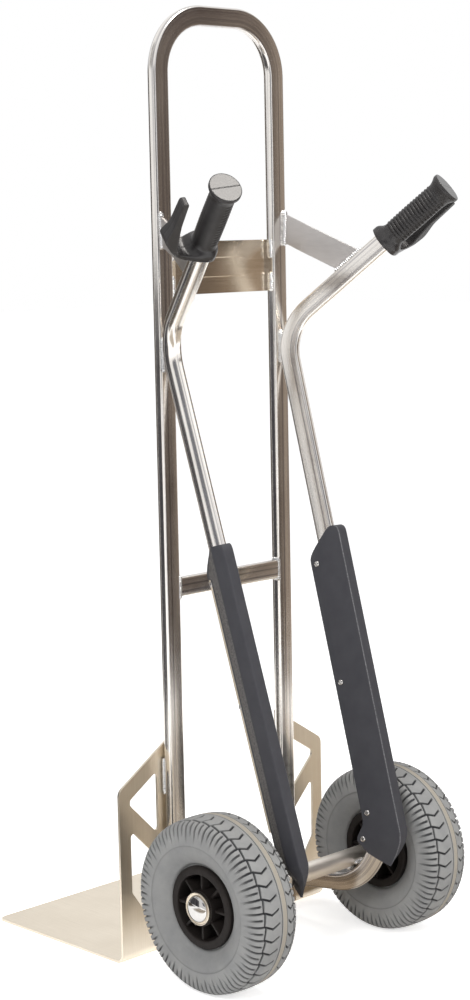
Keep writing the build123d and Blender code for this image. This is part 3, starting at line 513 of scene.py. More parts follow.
def tyreSurface(side):
    # profile by its length s from the crown, sunk along its normal by the grooves' depth, carried round by u
    base = tyreSide()
    length = running(base)
    across = np.append(np.array(tyre["across"]) / 1000.0, length[-2:])
    across = np.unique(np.minimum(across, length[-1]))
    signed = np.append(-across[:0:-1], across)[:, None]  # from the inner bead over the tread to the outer bead
    row = np.abs(signed)
    pitch = np.array(tyre["pitch"]) / 1000.0
    step = 2 * math.pi * tyre["radius"] / tyre["blocks"]
    u = (np.arange(tyre["blocks"])[:, None] * step + pitch * step / tyre["blockLength"]).ravel()[None]
    s = row + 0 * u
    saw = (np.mod(u / step, 1.0) - 0.5) * tyre["saw"]  # the band's outer edge steps at every block
    s = s + saw * window(*tyre["sawZone"], s)
    bandMiddle, bandHalf = np.mean(tyre["band"]), np.ptp(tyre["band"]) / 2
    chevron = tyre["chevron"] * np.maximum(0, 1 - np.abs(s - bandMiddle) / bandHalf)
    # grooves: two rings beside the centre rib, the stepped edge, chevron sipes, and tapering shoulder sipes
    near = np.abs(np.mod(u + step / 2, step) - step / 2)
    half = np.abs(np.mod(u, step) - step / 2)
    sipe, halfSipe = (1 - smoothStep(*tyre["sipe"], gap) for gap in (near, half))
    ring = window(*tyre["ring"], s)
    zones = ("edge", "bandSipes", "longSipes", "shortSipes")
    edge, bandSipes, longSipes, shortSipes = (window(*tyre[zone], row) for zone in zones)
    cuts = np.maximum.reduce((edge + 0 * u, sipe * bandSipes, sipe * longSipes,
                              tyre["shortDepth"] * halfSipe * shortSipes))
    depth = np.maximum(ring * tyre["ringDepth"], cuts * tyre["sipeDepth"])
    depth = depth + tyre["sidewallStep"] * window(*tyre["sidewall"], s)

    def placed(q):  # (out along the axle, radius) at a signed distance over the tread
        out, radius = (np.interp(np.abs(q), length, base[:, k]) for k in (0, 1))
        return np.stack([np.sign(q) * out, radius], -1)

    q = np.sign(signed) * s
    q = q + side * tyre["ribShift"] * np.maximum(0, 1 - np.abs(q) / tyre["ribReach"])
    ahead = placed(q + 1e-4) - placed(q - 1e-4)
    normal = unit(np.stack([-ahead[..., 1], ahead[..., 0]], -1))
    sunk = placed(q) - normal * depth[..., None]
    points = aroundAxle(side, sunk[..., 0], sunk[..., 1], (u + chevron) / tyre["radius"])
    along = np.append(signed[:, 0], across[-1] + tyre["insideUv"])
    around = np.append(u[0], u[0, 0] + 2 * math.pi * tyre["radius"])
    # painted shade: grooves and rings dark by their depth, less towards the shoulder, a dark line at the
    # sidewall's step, the sidewall a little darker
    dark = np.maximum(cuts, tyre["ringShade"] * ring)
    dark = dark * (1 - tyre["shoulderShade"] * smoothStep(*tyre["shoulder"], row))
    dark = dark + tyre["lineShade"] * np.exp(-((row - tyre["line"]) / tyre["lineHalf"]) ** 2)
    dark = dark + tyre["sidewallShade"] * smoothStep(*tyre["sidewall"][0], row)
    return surface(points, True, True, along, around, flip=side > 0), dark


rim = {
    "flange": [(-0.0330, 0.0492), (-0.0330, 0.0590), (-0.0312, 0.0615), (-0.0252, 0.0615), (-0.0250, 0.0520),
               (0.0250, 0.0520), (0.0252, 0.0615), (0.0312, 0.0615), (0.0330, 0.0590), (0.0330, 0.0492),
               (0.0300, 0.0485), (-0.0300, 0.0485)],
    "web": [(-0.005, 0.0225), (-0.005, 0.0490), (0.005, 0.0490), (0.005, 0.0225)],
    "hub": [(-0.036, 0.0180), (-0.036, 0.0255), (-0.035, 0.0265), (0.035, 0.0265), (0.036, 0.0255),
            (0.036, 0.0180)],
    "rounds": {"flange": 0.0012, "web": 0.0015, "hub": 0.0012},
    "ribs": 8, "rib": [(0.0240, -0.0300), (0.0495, -0.0300), (0.0495, 0.0300), (0.0240, 0.0300)],
    "ribRound": 0.002, "ribHalf": 0.0021,
    "ribInset": (0.0012, 0.0003, 0, 0, 0.0003, 0.0012), "ribLevel": (-1, -0.85, -0.6, 0.6, 0.85, 1),
}


def rimRibs(side):
    # each rib is a thin block with rounded edges, from hub to rim, in a plane through the axle
    corners = rounded(rim["rib"], rim["ribRound"], 3)
    middle = corners.mean(0)
    shrink = 1 - vec(*rim["ribInset"])[:, None, None] / np.linalg.norm(corners - middle, axis=1)[None, :, None]
    core = np.broadcast_to(middle, (1, len(corners), 2))
    ring = np.concatenate([core, middle + (corners - middle) * shrink, core])
    level = vec(*rim["ribLevel"]) * rim["ribHalf"]
    level = np.concatenate([level[:1], level, level[-1:]])
    centre = vec(side * axle["track"] / 2, axle["y"], axle["z"])
    parts = []
    for turn in np.arange(rim["ribs"]) * 2 * math.pi / rim["ribs"]:
        radial = vec(0, math.cos(turn), math.sin(turn))
        tangent = vec(0, -math.sin(turn), math.cos(turn))
        points = (centre + ring[..., :1] * radial + ring[..., 1:] * vec(side, 0, 0)
                  + level[:, None, None] * tangent)
        parts.append(surface(points, False, True, flip=side < 0))
    return joined(*parts)


fittings = {
    "washer": [(0.0363, 0.0100), (0.0363, 0.0242), (0.0395, 0.0242), (0.0395, 0.0229), (0.0382, 0.0227),
               (0.0382, 0.0100)],
    "cap": [(0.0383, 0.0100), (0.0383, 0.0197), (0.0394, 0.0199), (0.0408, 0.0193), (0.0424, 0.0176),
            (0.0438, 0.0150), (0.0450, 0.0115), (0.0458, 0.0077), (0.0462, 0.0039), (0.0463, 0.0)],
    "spacer": [(-0.0550, 0.0100), (-0.0550, 0.0140), (-0.0363, 0.0140), (-0.0363, 0.0100)],
    "axleTube": [(-0.135, 0.0100), (-0.135, 0.0140), (0.135, 0.0140), (0.135, 0.0100)],
    "round": 0.0006,
}
softFittings = {k: rounded(fittings[k], fittings["round"]) for k in ("washer", "spacer", "axleTube")}
for side, sign in sides:
    body = side + "_wheel"
    centre, axis = vec(sign * axle["track"] / 2, axle["y"], axle["z"]), vec(sign, 0, 0)
    tyrePart, tyrePaintedShade = tyreSurface(sign)
    addPiece(side + "_tyre", tyrePart, "grey_tyre", body=body, sharpAngle=tyre["sharp"], cut=tyrePaintedShade)
    rings = [lathe(centre, axis, rounded(rim[k], radius)) for k, radius in rim["rounds"].items()]
    addPiece(side + "_rim", joined(*rings, rimRibs(sign)), "rim_plastic", body=body)
    addPiece(side + "_outer_washer", lathe(centre, axis, softFittings["washer"]), "bright_fittings",
             finish="brushedSheet")
    addPiece(side + "_axle_cap", lathe(centre, axis, fittings["cap"]), "bright_fittings")
    addPiece(side + "_inner_spacer", lathe(centre, axis, softFittings["spacer"]), "axle_steel")
addPiece("axle_tube", lathe(vec(0, axle["y"], axle["z"]), vec(1, 0, 0), softFittings["axleTube"]), "axle_steel")
print("wheels turned")


# stair runner: a channel section carried down the rear tube; its flanges follow their own outlines

runner = {
    "inner": 0.0118, "outer": 0.0143, "wall": 0.0025, "back": -0.026, "crown": (0.0040, -0.0315),
    "facet": -0.012, "facetGap": 0.002, "top": 0.317, "bottom": 0.845, "rows": 60, "domeEnd": 0.4,
    "frontEdge": [(0.317, -0.0125), (0.3185, -0.0085), (0.3225, -0.0030), (0.3327, 0.0075), (0.342, 0.0170),
                  (0.3496, 0.0240), (0.356, 0.0288), (0.362, 0.0312), (0.368, 0.0315), (0.768, 0.0315),
                  (0.776, 0.0332), (0.793, 0.0462), (0.798, 0.0474), (0.803, 0.0452), (0.820, 0.0315),
                  (0.833, 0.0143), (0.845, -0.003)],
    "outerEdge": [(0.317, -0.0125), (0.3185, -0.0085), (0.3225, -0.0030), (0.3327, 0.0075), (0.342, 0.0165),
                  (0.3496, 0.0225), (0.355, 0.0258), (0.359, 0.0262), (0.3625, 0.0250), (0.3635, 0.0170),
                  (0.368, 0.0160), (0.790, 0.0160), (0.800, 0.0140), (0.815, 0.0060), (0.830, -0.0040),
                  (0.845, -0.0120)],
    "backEdge": [(0.317, -0.0178), (0.3178, -0.0205), (0.3195, -0.0230), (0.3225, -0.0249), (0.327, -0.0258),
                 (0.331, -0.026), (0.796, -0.026), (0.812, -0.0235), (0.828, -0.0165), (0.845, -0.004)],
    "closing": (0.790, 0.845), "turning": (0.795, 0.845), "turnOut": 0.008, "girthRow": 20, "sharp": 40.0,
    "rounds": (0.8, 1.8, 2.2, 3.0, 0.8, 0.8, 1.5, 1.0, 1.5, 0.8),
}
armFront = np.cross(armUp, outward)


def runnerSurface():
    # ring of (u out, v front) at each distance s down the arm: apex - s armUp + u outward + v armFront
    edges = [np.array(runner[k]).T for k in ("frontEdge", "outerEdge", "backEdge")]
    evenly = np.linspace(runner["top"], runner["bottom"], runner["rows"])
    s = np.unique(np.concatenate([edge[0] for edge in edges] + [evenly]))
    front, outer, back = (np.interp(s, *edge) for edge in edges)
    closing = smoothStep(*runner["closing"], s)
    one, wall = np.ones_like(s), runner["wall"]
    wide, slim = runner["outer"] * one, runner["inner"] * one
    crownU, crownV = runner["crown"]

    def shut(u, v):  # towards the inner flange's back corner as the boot closes
        return u + (-wide - u) * closing, v + (back - v) * closing

    crownV = crownV + np.where(s < runner["domeEnd"], back - runner["back"], 0.0)  # follows the rounded top
    facet = np.minimum(runner["facet"], outer - runner["facetGap"])
    outerSkin = [(-wide, front), (-wide, back)]
    outerSkin += [shut(crownU * one, crownV), shut(wide, facet), shut(wide, outer)]
    innerSkin = [shut(slim, outer), shut(slim, facet), shut(crownU * one, crownV + wall)]
    innerSkin = [(u + wall * closing, v + wall * closing) for u, v in innerSkin]
    innerSkin += [(-slim, back + wall), (-slim, np.maximum(front, back + wall))]
    corners = np.stack([np.stack(c, -1) for c in outerSkin + innerSkin], 1)
    ring = rounded(corners, vec(*runner["rounds"]) / 1000.0, 5)
    ring = ring + runner["turnOut"] * smoothStep(*runner["turning"], s)[:, None, None]  # out at the end
    middle = (ring + ring[:, ::-1]) / 2
    ring = np.concatenate([middle[:1], ring, middle[-1:]])
    s = np.concatenate([s[:1], s, s[-1:]])
    points = apex - armUp * s[:, None, None] + ring[..., :1] * outward + ring[..., 1:] * armFront
    return surface(points, False, True, s, running(ring[runner["girthRow"]], True))


addPair("stair_runner", runnerSurface(), "runner_plastic", sharpAngle=runner["sharp"])
print("runners moulded")


# grip: a field of distances in millimetres, below zero inside, meshed as surface nets
# u runs towards the guard, v to the front and t along the handle

grip = {
    "start": 0.208, "length": 130.0, "deep": 17.0, "wide": 19.0, "endWall": 6.0, "wall": 1.3, "step": 0.8,
    "low": (-26, -28, -3), "high": (76, 28, 134), "endRound": 0.8, "startRound": 1.0, "sharp": 50.0,
    "shape": [(0, 4.4), (1.2, 4.9), (7, 4.7), (11, 3.3), (16, 1.0), (21, 0.1), (24, 0), (60, 0.4), (106, 0),
              (112, 0.5), (117, 2.0), (121, 4.0), (124, 5.7), (125, 6.0), (129.2, 6.0), (130, 5.6)],
    "ribs": 15, "ribFrom": 24.0, "ribPitch": 5.7, "ribHeight": 2.2, "ribBlunt": 0.7, "ribSide": 2.75,
    "ribFade": (-0.5, -0.2), "seam": 0.3, "seamHalf": 0.9,
    # painted shade in the rib grooves: its strength and its colour
    "grooveShade": 2.4, "groove": (0.003, 0.003, 0.003, 1),
    "guard": [(-6, 0), (45, 0), (72, 40), (63.5, 66), (61.5, 112), (52, 112), (51.5, 66), (49, 10), (-6, 9)],
    "guardRound": [1, 22, 8, 10, 4, 3, 12, 19, 1], "guardHalf": [(0, 21.5), (18, 20.5), (45, 15)],
    "guardTaper": [(22, 1.0), (44, 0.78), (66, 0.60), (112, 0.54)], "edge": 1.8, "blend": 13.0,
    "boreHalf": 11, "boreFlat": 7.5, "boreCorner": 4.3, "boreCrown": 15.3, "boreGap": 0.3,
    "endGloss": ((0.1285, 0.1295), (0.44, 0.25)), "saddleGloss": ((0.016, 0.024), (0.27, 0.44)),
}
gripStart = apex + handleOut * grip["start"]
handleFront = np.cross(handleOut, outward)


def outlineDistance(spots, outline):  # to the nearest edge, below zero inside by the even-odd rule
    start, end = outline, np.roll(outline, -1, 0)
    edge = end - start
    offset = spots[:, None] - start
    share = np.clip((offset * edge).sum(-1) / (edge ** 2).sum(-1), 0, 1)
    away = np.linalg.norm(offset - share[..., None] * edge, axis=-1).min(1)
    level = np.where(np.abs(edge[:, 1]) < 1e-9, 1e-9, edge[:, 1])
    spans = (start[:, 1] > spots[:, 1:]) != (end[:, 1] > spots[:, 1:])
    crossed = spans & (offset[..., 0] < edge[:, 0] * offset[..., 1] / level)
    return np.where(crossed.sum(1) % 2 == 1, -away, away)


def softMin(a, b, k):  # min with a fillet: h = 0.5 + (b - a) / 2k, then b + (a - b) h - k h (1 - h)
    h = np.clip(0.5 + (b - a) / (2 * k), 0, 1)
    return b + (a - b) * h - k * h * (1 - h)


def roundCorner(a, b, radius):  # both below zero inside: max(a, b) within, the distance to the corner beyond
    return np.minimum(np.maximum(a, b), 0) + np.hypot(np.maximum(a, 0), np.maximum(b, 0)) - radius


def ribWave(angle, t):  # |sin| ridges with narrow grooves, on the side away from the guard
    phase = (t - grip["ribFrom"]) / grip["ribPitch"]
    ridges = np.abs(np.sin(math.pi * phase)) ** grip["ribBlunt"]
    wave = np.where((phase > 0) & (phase < grip["ribs"]), ridges, 0.5)
    return (wave - 0.5) * smoothStep(*grip["ribFade"], np.cos(angle - grip["ribSide"]))


def gripField(u, v, t):
    # oval barrel and guard joined with a fillet, less the tube's D-section bore
    shape, guardHalf, guardTaper = (np.array(grip[k]).T for k in ("shape", "guardHalf", "guardTaper"))
    grow = np.interp(t, *shape) + grip["ribHeight"] * ribWave(np.arctan2(v, u), t)
    deep, wide = grip["deep"] + grow, grip["wide"] + grow
    barrel = (np.sqrt((u / deep) ** 2 + (v / wide) ** 2) - 1) * np.minimum(deep, wide)
    barrel = -softMin(-barrel, grip["length"] - t, grip["endRound"])
    plan = np.stack(np.broadcast_arrays(u, t), -1)[:, 0]
    outline = rounded(grip["guard"], grip["guardRound"], 7)
    profile = outlineDistance(plan.reshape(-1, 2), outline).reshape(plan.shape[:2])[:, None]
    half = np.interp(u, *guardHalf) * np.interp(t, *guardTaper)
    guard = roundCorner(profile + grip["edge"], np.abs(v) - half + grip["edge"], grip["edge"])
    body = -softMin(-softMin(barrel, guard, grip["blend"]), t, grip["startRound"])
    body = body + grip["seam"] * np.maximum(0, 1 - np.abs(v) / grip["seamHalf"])  # the parting groove
    crown = tubeCrown * 1000
    straight = roundCorner(np.abs(v) - grip["boreHalf"], -u - grip["boreFlat"], grip["boreCorner"])
    bore = np.where(u > crown, np.hypot(u - crown, v) - grip["boreCrown"], straight)
    deepest = t - grip["length"] + grip["endWall"] - grip["boreGap"]
    sleeve = np.maximum(np.maximum(bore - grip["wall"], deepest), -t)  # the least wall, also under the grooves
    return np.maximum(np.minimum(body, sleeve), -np.maximum(bore, deepest))


def surfaceNets(field, low, step):
    # one vertex in every cell that the surface crosses, at the mean of its edge crossings
    # one quad round every crossed edge
    cells = np.array(field.shape) - 1
    total, count = np.zeros((*cells, 3)), np.zeros(cells)
    crossings = []
    for axis in range(3):
        first, second = ((axis + k) % 3 for k in (1, 2))
        here, there = np.take(field, range(cells[axis]), axis), np.take(field, range(1, cells[axis] + 1), axis)
        crossed = (here < 0) != (there < 0)
        share = np.where(crossed, here / np.where(crossed, here - there, 1.0), 0.0)
        crossings.append((first, second, crossed, here < 0))
        for p in (0, 1):
            for q in (0, 1):
                cut = [slice(None)] * 3
                cut[first], cut[second] = slice(p, p + cells[first]), slice(q, q + cells[second])
                met = crossed[tuple(cut)]
                total[..., axis] += share[tuple(cut)]
                total[..., first] += p * met
                total[..., second] += q * met
                count += met
    active = count > 0
    number = np.full(cells, -1)
    number[active] = np.arange(active.sum())
    points = low + step * (np.argwhere(active) + total[active] / count[active][:, None])
    quads = []
    for first, second, crossed, inside in crossings:
        spot = np.argwhere(crossed)
        around = []
        for p, q in ((1, 1), (0, 1), (0, 0), (1, 0)):
            near = spot.copy()
            near[:, first] -= p
            near[:, second] -= q
            around.append(number[tuple(near.T)])
        around = np.stack(around, 1)
        quads.append(np.where(inside[crossed][:, None], around, around[:, ::-1]))
    return points, np.concatenate(quads)


def gripMarks(material):
    # by the distance along the handle, the same on both sides by |x|: smooth end face and saddle, matt barrel;
    # painted shade in the rib grooves by the cut attribute
    tree, shader, tone = reopened(material)
    spot = axes(tree, "Object")
    sockets = {"X": maths(tree, "ABSOLUTE", spot["X"]), "Y": spot["Y"], "Z": spot["Z"]}
    place = node(tree, "CombineXYZ", sockets).outputs["Vector"]
    along = node(tree, "VectorMath", {0: place, 1: handleOut}, operation="DOT_PRODUCT").outputs["Value"]
    away = maths(tree, "SUBTRACT", along, float(np.dot(gripStart, handleOut)))
    away = maths(tree, "ABSOLUTE", away)
    gloss = [remapped(tree, away, *grip[k]) for k in ("endGloss", "saddleGloss")]
    cut = node(tree, "Attribute", attribute_name="cut").outputs["Fac"]
    fill(shader, {"Roughness": maths(tree, "MINIMUM", *gloss),
                  "Base Color": mixed(tree, cut, tone, grip["groove"])})


gripMarks(finishes["gripPlastic"])
gripLines = [np.arange(low, high, grip["step"]) for low, high in zip(vec(*grip["low"]), vec(*grip["high"]))]
gripGrid = gripField(gripLines[0][:, None, None], gripLines[1][None, :, None], gripLines[2][None, None, :])
gripPoints, gripQuads = surfaceNets(gripGrid, vec(*grip["low"]), grip["step"])
gripUv = gripPoints[gripQuads][..., [0, 2]].reshape(-1, 2) / 1000
# painted shade: the rib grooves darkened by their depth in the ribs' wave
gripPaintedShade = ribWave(np.arctan2(gripPoints[:, 1], gripPoints[:, 0]), gripPoints[:, 2])
gripPaintedShade = np.clip(-grip["grooveShade"] * gripPaintedShade, 0, 1)
gripPart = (gripStart + gripPoints / 1000 @ np.stack([outward, handleFront, handleOut]), gripQuads, gripUv)
addPair("grip", gripPart, "grip_plastic", sharpAngle=grip["sharp"], cut=gripPaintedShade)
print("grips moulded:", len(gripQuads), "quads each")


# handle brackets: a plate with one slight bend, a rounded ring carried from the upright to the handle

bracket = {"station": 0.149, "armHalf": 0.023, "uprightHalf": 0.0225, "height": 1.103, "sheet": 0.004,
           "round": 0.0009, "bendAt": 0.34, "bendRise": 0.0035, "foldDepth": 0.0004, "foldHalf": 0.02,
           "weldGap": 0.0007, "seatGap": 0.0003, "rows": 60, "uvLength": 0.15}
bracketInset = tube["corner"] + bracket["sheet"] / 2
bracketArm = (apex + handleOut * bracket["station"] + handleFront * (tube["width"] / 2 + bracket["seatGap"])
              - outward * (tube["depth"] / 2 - bracketInset))
bracketUpright = vec(loopX + tube["width"] / 2 - bracketInset, -tube["depth"] - 2 * bracket["weldGap"],
                     bracket["height"])
bracketNormal = unit(np.cross(handleOut, bracketUpright - bracketArm))
uprightEdge = unit(np.cross(vec(0, 1, 0), bracketNormal))
bracketEnds = [(p - d * h, p + d * h) for p, d, h in ((bracketUpright, uprightEdge, bracket["uprightHalf"]),
                                                      (bracketArm, handleOut, bracket["armHalf"]))]


def bracketSurface():
    # ring of (x along the edge, y through the sheet) about the middle line between the two ends
    along = np.linspace(0, 1, bracket["rows"])[:, None]
    at = bracket["bendAt"]
    bend = bracket["bendRise"] * np.minimum(along / at, (1 - along) / (1 - at))
    bend = bend - bracket["foldDepth"] * np.exp(-((along - at) / bracket["foldHalf"]) ** 2)  # rounds the fold
    low, high = (start + (end - start) * along + bracketNormal * bend for start, end in zip(*bracketEnds))
    middle, reach = (low + high) / 2, (high - low) / 2
    half = np.linalg.norm(reach, axis=1)
    thick = np.full_like(half, bracket["sheet"] / 2)
    corners = ((-half, -thick), (half, -thick), (half, thick), (-half, thick))
    ring = rounded(np.stack([np.stack(c, -1) for c in corners], 1), bracket["round"])
    points = middle[:, None] + ring[..., :1] * unit(reach)[:, None] + ring[..., 1:] * bracketNormal
    core = middle[:, None] + 0 * points
    points = np.concatenate([core[:1], points, core[-1:]])
    facing = np.dot(np.cross(unit(reach)[0], bracketNormal), bracketArm - bracketUpright)
    return surface(points, False, True, np.linspace(0, bracket["uvLength"], len(points)), flip=facing > 0)


addPair("handle_bracket", bracketSurface(), "brushed_sheet", finish="bracketSheet")
print("brackets bent")


# weld beads: round with blunt ends, and ripples that trail round, with slower lumps over them:
# r (1 - ripple (1 + sin(2 pi s / pitch + lag cos a)) / 2 - lump (1 + sin(2 pi s / lump pitch + 2 a)) / 2)

bead = {"radius": 0.004, "groove": 0.0046, "ripple": 0.26, "pitch": 0.0034, "lag": 1.6, "lump": 0.1,
        "lumpPitch": 3.7, "around": 28, "endRows": 8, "spacing": 0.0005, "sharp": 60.0,
        "panel": {"radius": 0.0052, "aside": 0.0013, "front": 0.0045, "feet": (1.011, 1.062), "length": 0.020},
        "arm": {"radius": 0.0055, "aside": 0.009, "below": 0.021, "length": 0.042},
        "bracket": {"radius": 0.0054},
        "toePlate": {"aside": 0.0114, "feet": (0.253, 0.047), "lengths": (0.048, 0.050)},
        "axle": {"radius": 0.014, "turns": (-38, 38)}}


def weldBead(start, end, radius):
    length = np.linalg.norm(end - start)
    ahead = (end - start) / length
    first, second = squareTo(ahead)
    quarter = np.linspace(0, math.pi / 2, bead["endRows"])
    run = np.linspace(0, length, max(8, int(length / bead["spacing"])))[1:-1]
    s = np.concatenate([-radius * np.cos(quarter), run, length + radius * np.sin(quarter)])[:, None]
    angle = np.linspace(0, 2 * math.pi, bead["around"], endpoint=False)[None]
    past = np.maximum(np.maximum(-s, s - length), 0) / radius
    ripple = 0.5 + 0.5 * np.sin(2 * math.pi * s / bead["pitch"] + bead["lag"] * np.cos(angle))
    lump = 0.5 + 0.5 * np.sin(2 * math.pi * s / (bead["lumpPitch"] * bead["pitch"]) + 2 * angle)
    size = radius * np.sqrt(np.maximum(0, 1 - past ** 2)) * (1 - bead["ripple"] * ripple - bead["lump"] * lump)
    spoke = np.cos(angle)[..., None] * first + np.sin(angle)[..., None] * second
    points = start + s[..., None] * ahead + size[..., None] * spoke
    girth = np.linspace(0, 2 * math.pi * radius, bead["around"] + 1)
    return surface(points, False, True, s[:, 0], girth, flip=True)


def straightBead(start, reach, radius=bead["radius"]):  # from a start over a reach
    return weldBead(vec(*start), vec(*start) + vec(*reach), radius)


half, back, ball = tube["width"] / 2, -tube["depth"], bead["radius"]
bendInward = np.cross(outward, armUp)
apexTurn = math.acos(float(np.dot(armUp, handleOut)))
crestTurn = math.atan2(armUp[1], -bendInward[1])
# the crest is where the bend comes nearest to the upright
crest = (apex - armUp * rear["apexBend"] * (math.tan(apexTurn / 2) - math.sin(crestTurn))
         + bendInward * rear["apexBend"] * (1 - math.cos(crestTurn)))
heelTurn = math.acos(float(np.dot(-armUp, footAhead)))
heelCentre = heel + unit(armUp + footAhead) / math.cos(heelTurn / 2) * rear["heelBend"]
carry = unit(vec(0, axle["y"] - heelCentre[1], axle["z"] - heelCentre[2]))
jointX, jointY, crossZ = loopX - half + ball / 4, back + ball / 2, cross["height"]
panelBead, armBead, plateBead, axleBead = (bead[k] for k in ("panel", "arm", "toePlate", "axle"))
armLimit, armBeadY = loopX + half - tube["corner"], back - bracket["weldGap"]
armBeadX = [min(crest[0] + k * armBead["aside"], armLimit) for k in (-1, 1)]
armBeadZ = crest[2] - armBead["below"]
footX, footZ = rear["foot"][0] + back / 3, rear["foot"][2]
axleSpokes = [turned(carry[None], vec(1, 0, 0), [math.radians(k)])[0] for k in axleBead["turns"]]
axleStart = vec(heel[0] + back / 3, axle["y"], axle["z"])
welds = {
    "cross_tube_welds": [straightBead((jointX, jointY, crossZ - half), (0, 0, 2 * half))]
    + [straightBead((jointX, jointY, crossZ + k * half), (0, -back / 2 - ball / 2, 0)) for k in (-1, 1)],
    "panel_welds": [straightBead((loopX - half - panelBead["aside"], back + panelBead["front"], z),
                                 (0, 0, panelBead["length"]), panelBead["radius"]) for z in panelBead["feet"]],
    "arm_welds": [straightBead((x, armBeadY, armBeadZ), (0, 0, armBead["length"]), armBead["radius"])
                  for x in armBeadX],
    "foot_welds": [straightBead((footX, back, footZ + k * half), (-back / 2, 0, 0)) for k in (-1, 1)],
    "toe_plate_welds": [straightBead((loopX + k * plateBead["aside"], -ball, z), (0, 0, length), bead["groove"])
                        for k, z, length in zip((1, -1), plateBead["feet"], plateBead["lengths"])],
    "axle_welds": [straightBead(axleStart + spoke * (axleBead["radius"] + ball / 2), (-back * 2 / 3, 0, 0))
                   for spoke in axleSpokes],
    "bracket_welds": [weldBead(*ends, bead["bracket"]["radius"]) for ends in bracketEnds[::-1]],
}
for name, beads in welds.items():
    group = joined(*beads)
    addPiece(name, joined(group, mirrored(group)), "weld_bead", sharpAngle=bead["sharp"])
print("welds laid:", len(welds))


# runner screws: pan heads with a round recess, on both sides of the channel

screw = {"head": [(-0.009, 0.0), (-0.009, 0.0019), (0.0, 0.002), (0.0, 0.0044), (0.0009, 0.0044),
                  (0.0018, 0.0038), (0.0024, 0.0028), (0.0026, 0.0018), (0.0025, 0.0015),
                  (0.0012, 0.0012), (0.0012, 0.0)],
         "through": [(0.370, 0.0215), (0.556, 0.0215)], "boot": [(0.759, 0.0215), (0.797, 0.037)], "steps": 32}


def screwAt(station, front, depth, axis):  # a head down the arm, to the front and out
    origin = apex - armUp * station + armFront * front + outward * depth
    return lathe(origin, axis, screw["head"], screw["steps"], closed=False)


screwParts = [screwAt(*spot, -runner["outer"], -outward) for spot in screw["boot"] + screw["through"]]
screwParts += [screwAt(*spot, runner["inner"], outward) for spot in screw["through"]]
addPair("runner_screws", joined(*screwParts), "bright_fittings")
print("screws set")


# stage: pale floor and white surround, soft lamps, cards that only reflections see

scene = bpy.context.scene
scene.view_settings.view_transform = "Standard"
camera = bpy.data.cameras.new("camera")
viewer = bpy.data.objects.new("camera", camera)
scene.collection.objects.link(viewer)
scene.camera = viewer
eye = {"place": vec(-2.1780, -2.2501, 1.1065), "yaw": 45.4829, "pitch": 7.6224, "roll": -1.1356, "lens": 73.504}
yaw, pitch, roll = (math.radians(eye[k]) for k in ("yaw", "pitch", "roll"))
sight = vec(math.cos(yaw) * math.cos(pitch), math.sin(yaw) * math.cos(pitch), -math.sin(pitch))
level = vec(math.sin(yaw), -math.cos(yaw), 0)
over = np.cross(level, sight)


def stood(made, x, y, z, place):  # puts an object at a place with its three axes
    matrix = np.eye(4)
    matrix[:3] = np.stack([x, y, z, vec(*place)], 1)
    made.matrix_world = Matrix(matrix.tolist())


stood(viewer, math.cos(roll) * level + math.sin(roll) * over, -math.sin(roll) * level + math.cos(roll) * over,
      -sight, eye["place"])
camera.sensor_width = 36.0
camera.lens = eye["lens"]
camera.clip_end = 100.0


def backgroundRay(tree):  # 1 for camera, glossy and transmission rays, 0 for the light that falls on the object
    path = node(tree, "LightPath").outputs
    seen = maths(tree, "MAXIMUM", path["Is Camera Ray"], path["Is Glossy Ray"])
    return maths(tree, "MAXIMUM", seen, path["Is Transmission Ray"])


# the floor's glow makes it white to the eye and keeps the shadow
stage = {"worldLight": 0.45, "floorSize": 40.0, "floorGlow": 0.62, "cardLevels": (0.35, 0.65)}
world = bpy.data.worlds.new("surround")
scene.world = world
world.use_nodes = True
air = world.node_tree
airStrength = remapped(air, backgroundRay(air), (0.0, 1.0), (stage["worldLight"], 1.0))
fill(air.nodes["Background"], {"Color": (1, 1, 1, 1), "Strength": airStrength})


def aimed(made, place, aim):  # the z axis points away from the aim
    back = unit(vec(*place) - vec(*aim))
    side = unit(np.cross(vec(0, 0, 1), back))
    stood(made, side, np.cross(back, side), back, place)


lamps = {  # place, aim, size, power, colour, seen in reflections
    "overheadLamp": ((0.28, -1.1, 3.3), (0, -0.1, 0.9), 1.0, 34, (1, 0.96, 0.91), True),
    "keyLamp": ((-3.0, -1.4, 2.6), (0, 0, 0.6), 1.8, 80, (1, 1, 1), False),
    "fillLamp": ((1.2, -3.6, 2.2), (0, 0, 0.6), 2.0, 50, (1, 1, 1), False),
}
for name, (place, aim, size, power, colour, reflected) in lamps.items():
    light = bpy.data.lights.new(name, "AREA")
    light.shape, light.size, light.energy, light.color = "DISK", size, power, colour
    made = bpy.data.objects.new(name, light)
    scene.collection.objects.link(made)
    aimed(made, place, aim)
    made.visible_glossy = reflected


def stageSheet(name, size, material):  # a flat rectangle about the origin
    x, y = np.meshgrid(vec(-0.5, 0.5) * size[0], vec(-0.5, 0.5) * size[1], indexing="ij")
    mesh = bpy.data.meshes.new(name)
    mesh.from_pydata(np.stack([x, y, 0 * x], -1).reshape(-1, 3).tolist(), [], [(0, 2, 3, 1)])
    layer = mesh.uv_layers.new(name="UVMap")
    layer.data.foreach_set("uv", [0.0, 0.0, 1.0, 0.0, 1.0, 1.0, 0.0, 1.0])
    mesh.materials.append(material)
    made = bpy.data.objects.new(name, mesh)
    scene.collection.objects.link(made)
    return made


floorMaterial, tree, shader = newMaterial("paleFloor")
fill(shader, {"Base Color": (0.9, 0.9, 0.9, 1), "Roughness": 0.9, "Emission Color": (1, 1, 1, 1),
              "Emission Strength": maths(tree, "MULTIPLY", backgroundRay(tree), stage["floorGlow"])})
stageSheet("floor", [stage["floorSize"]] * 2, floorMaterial)


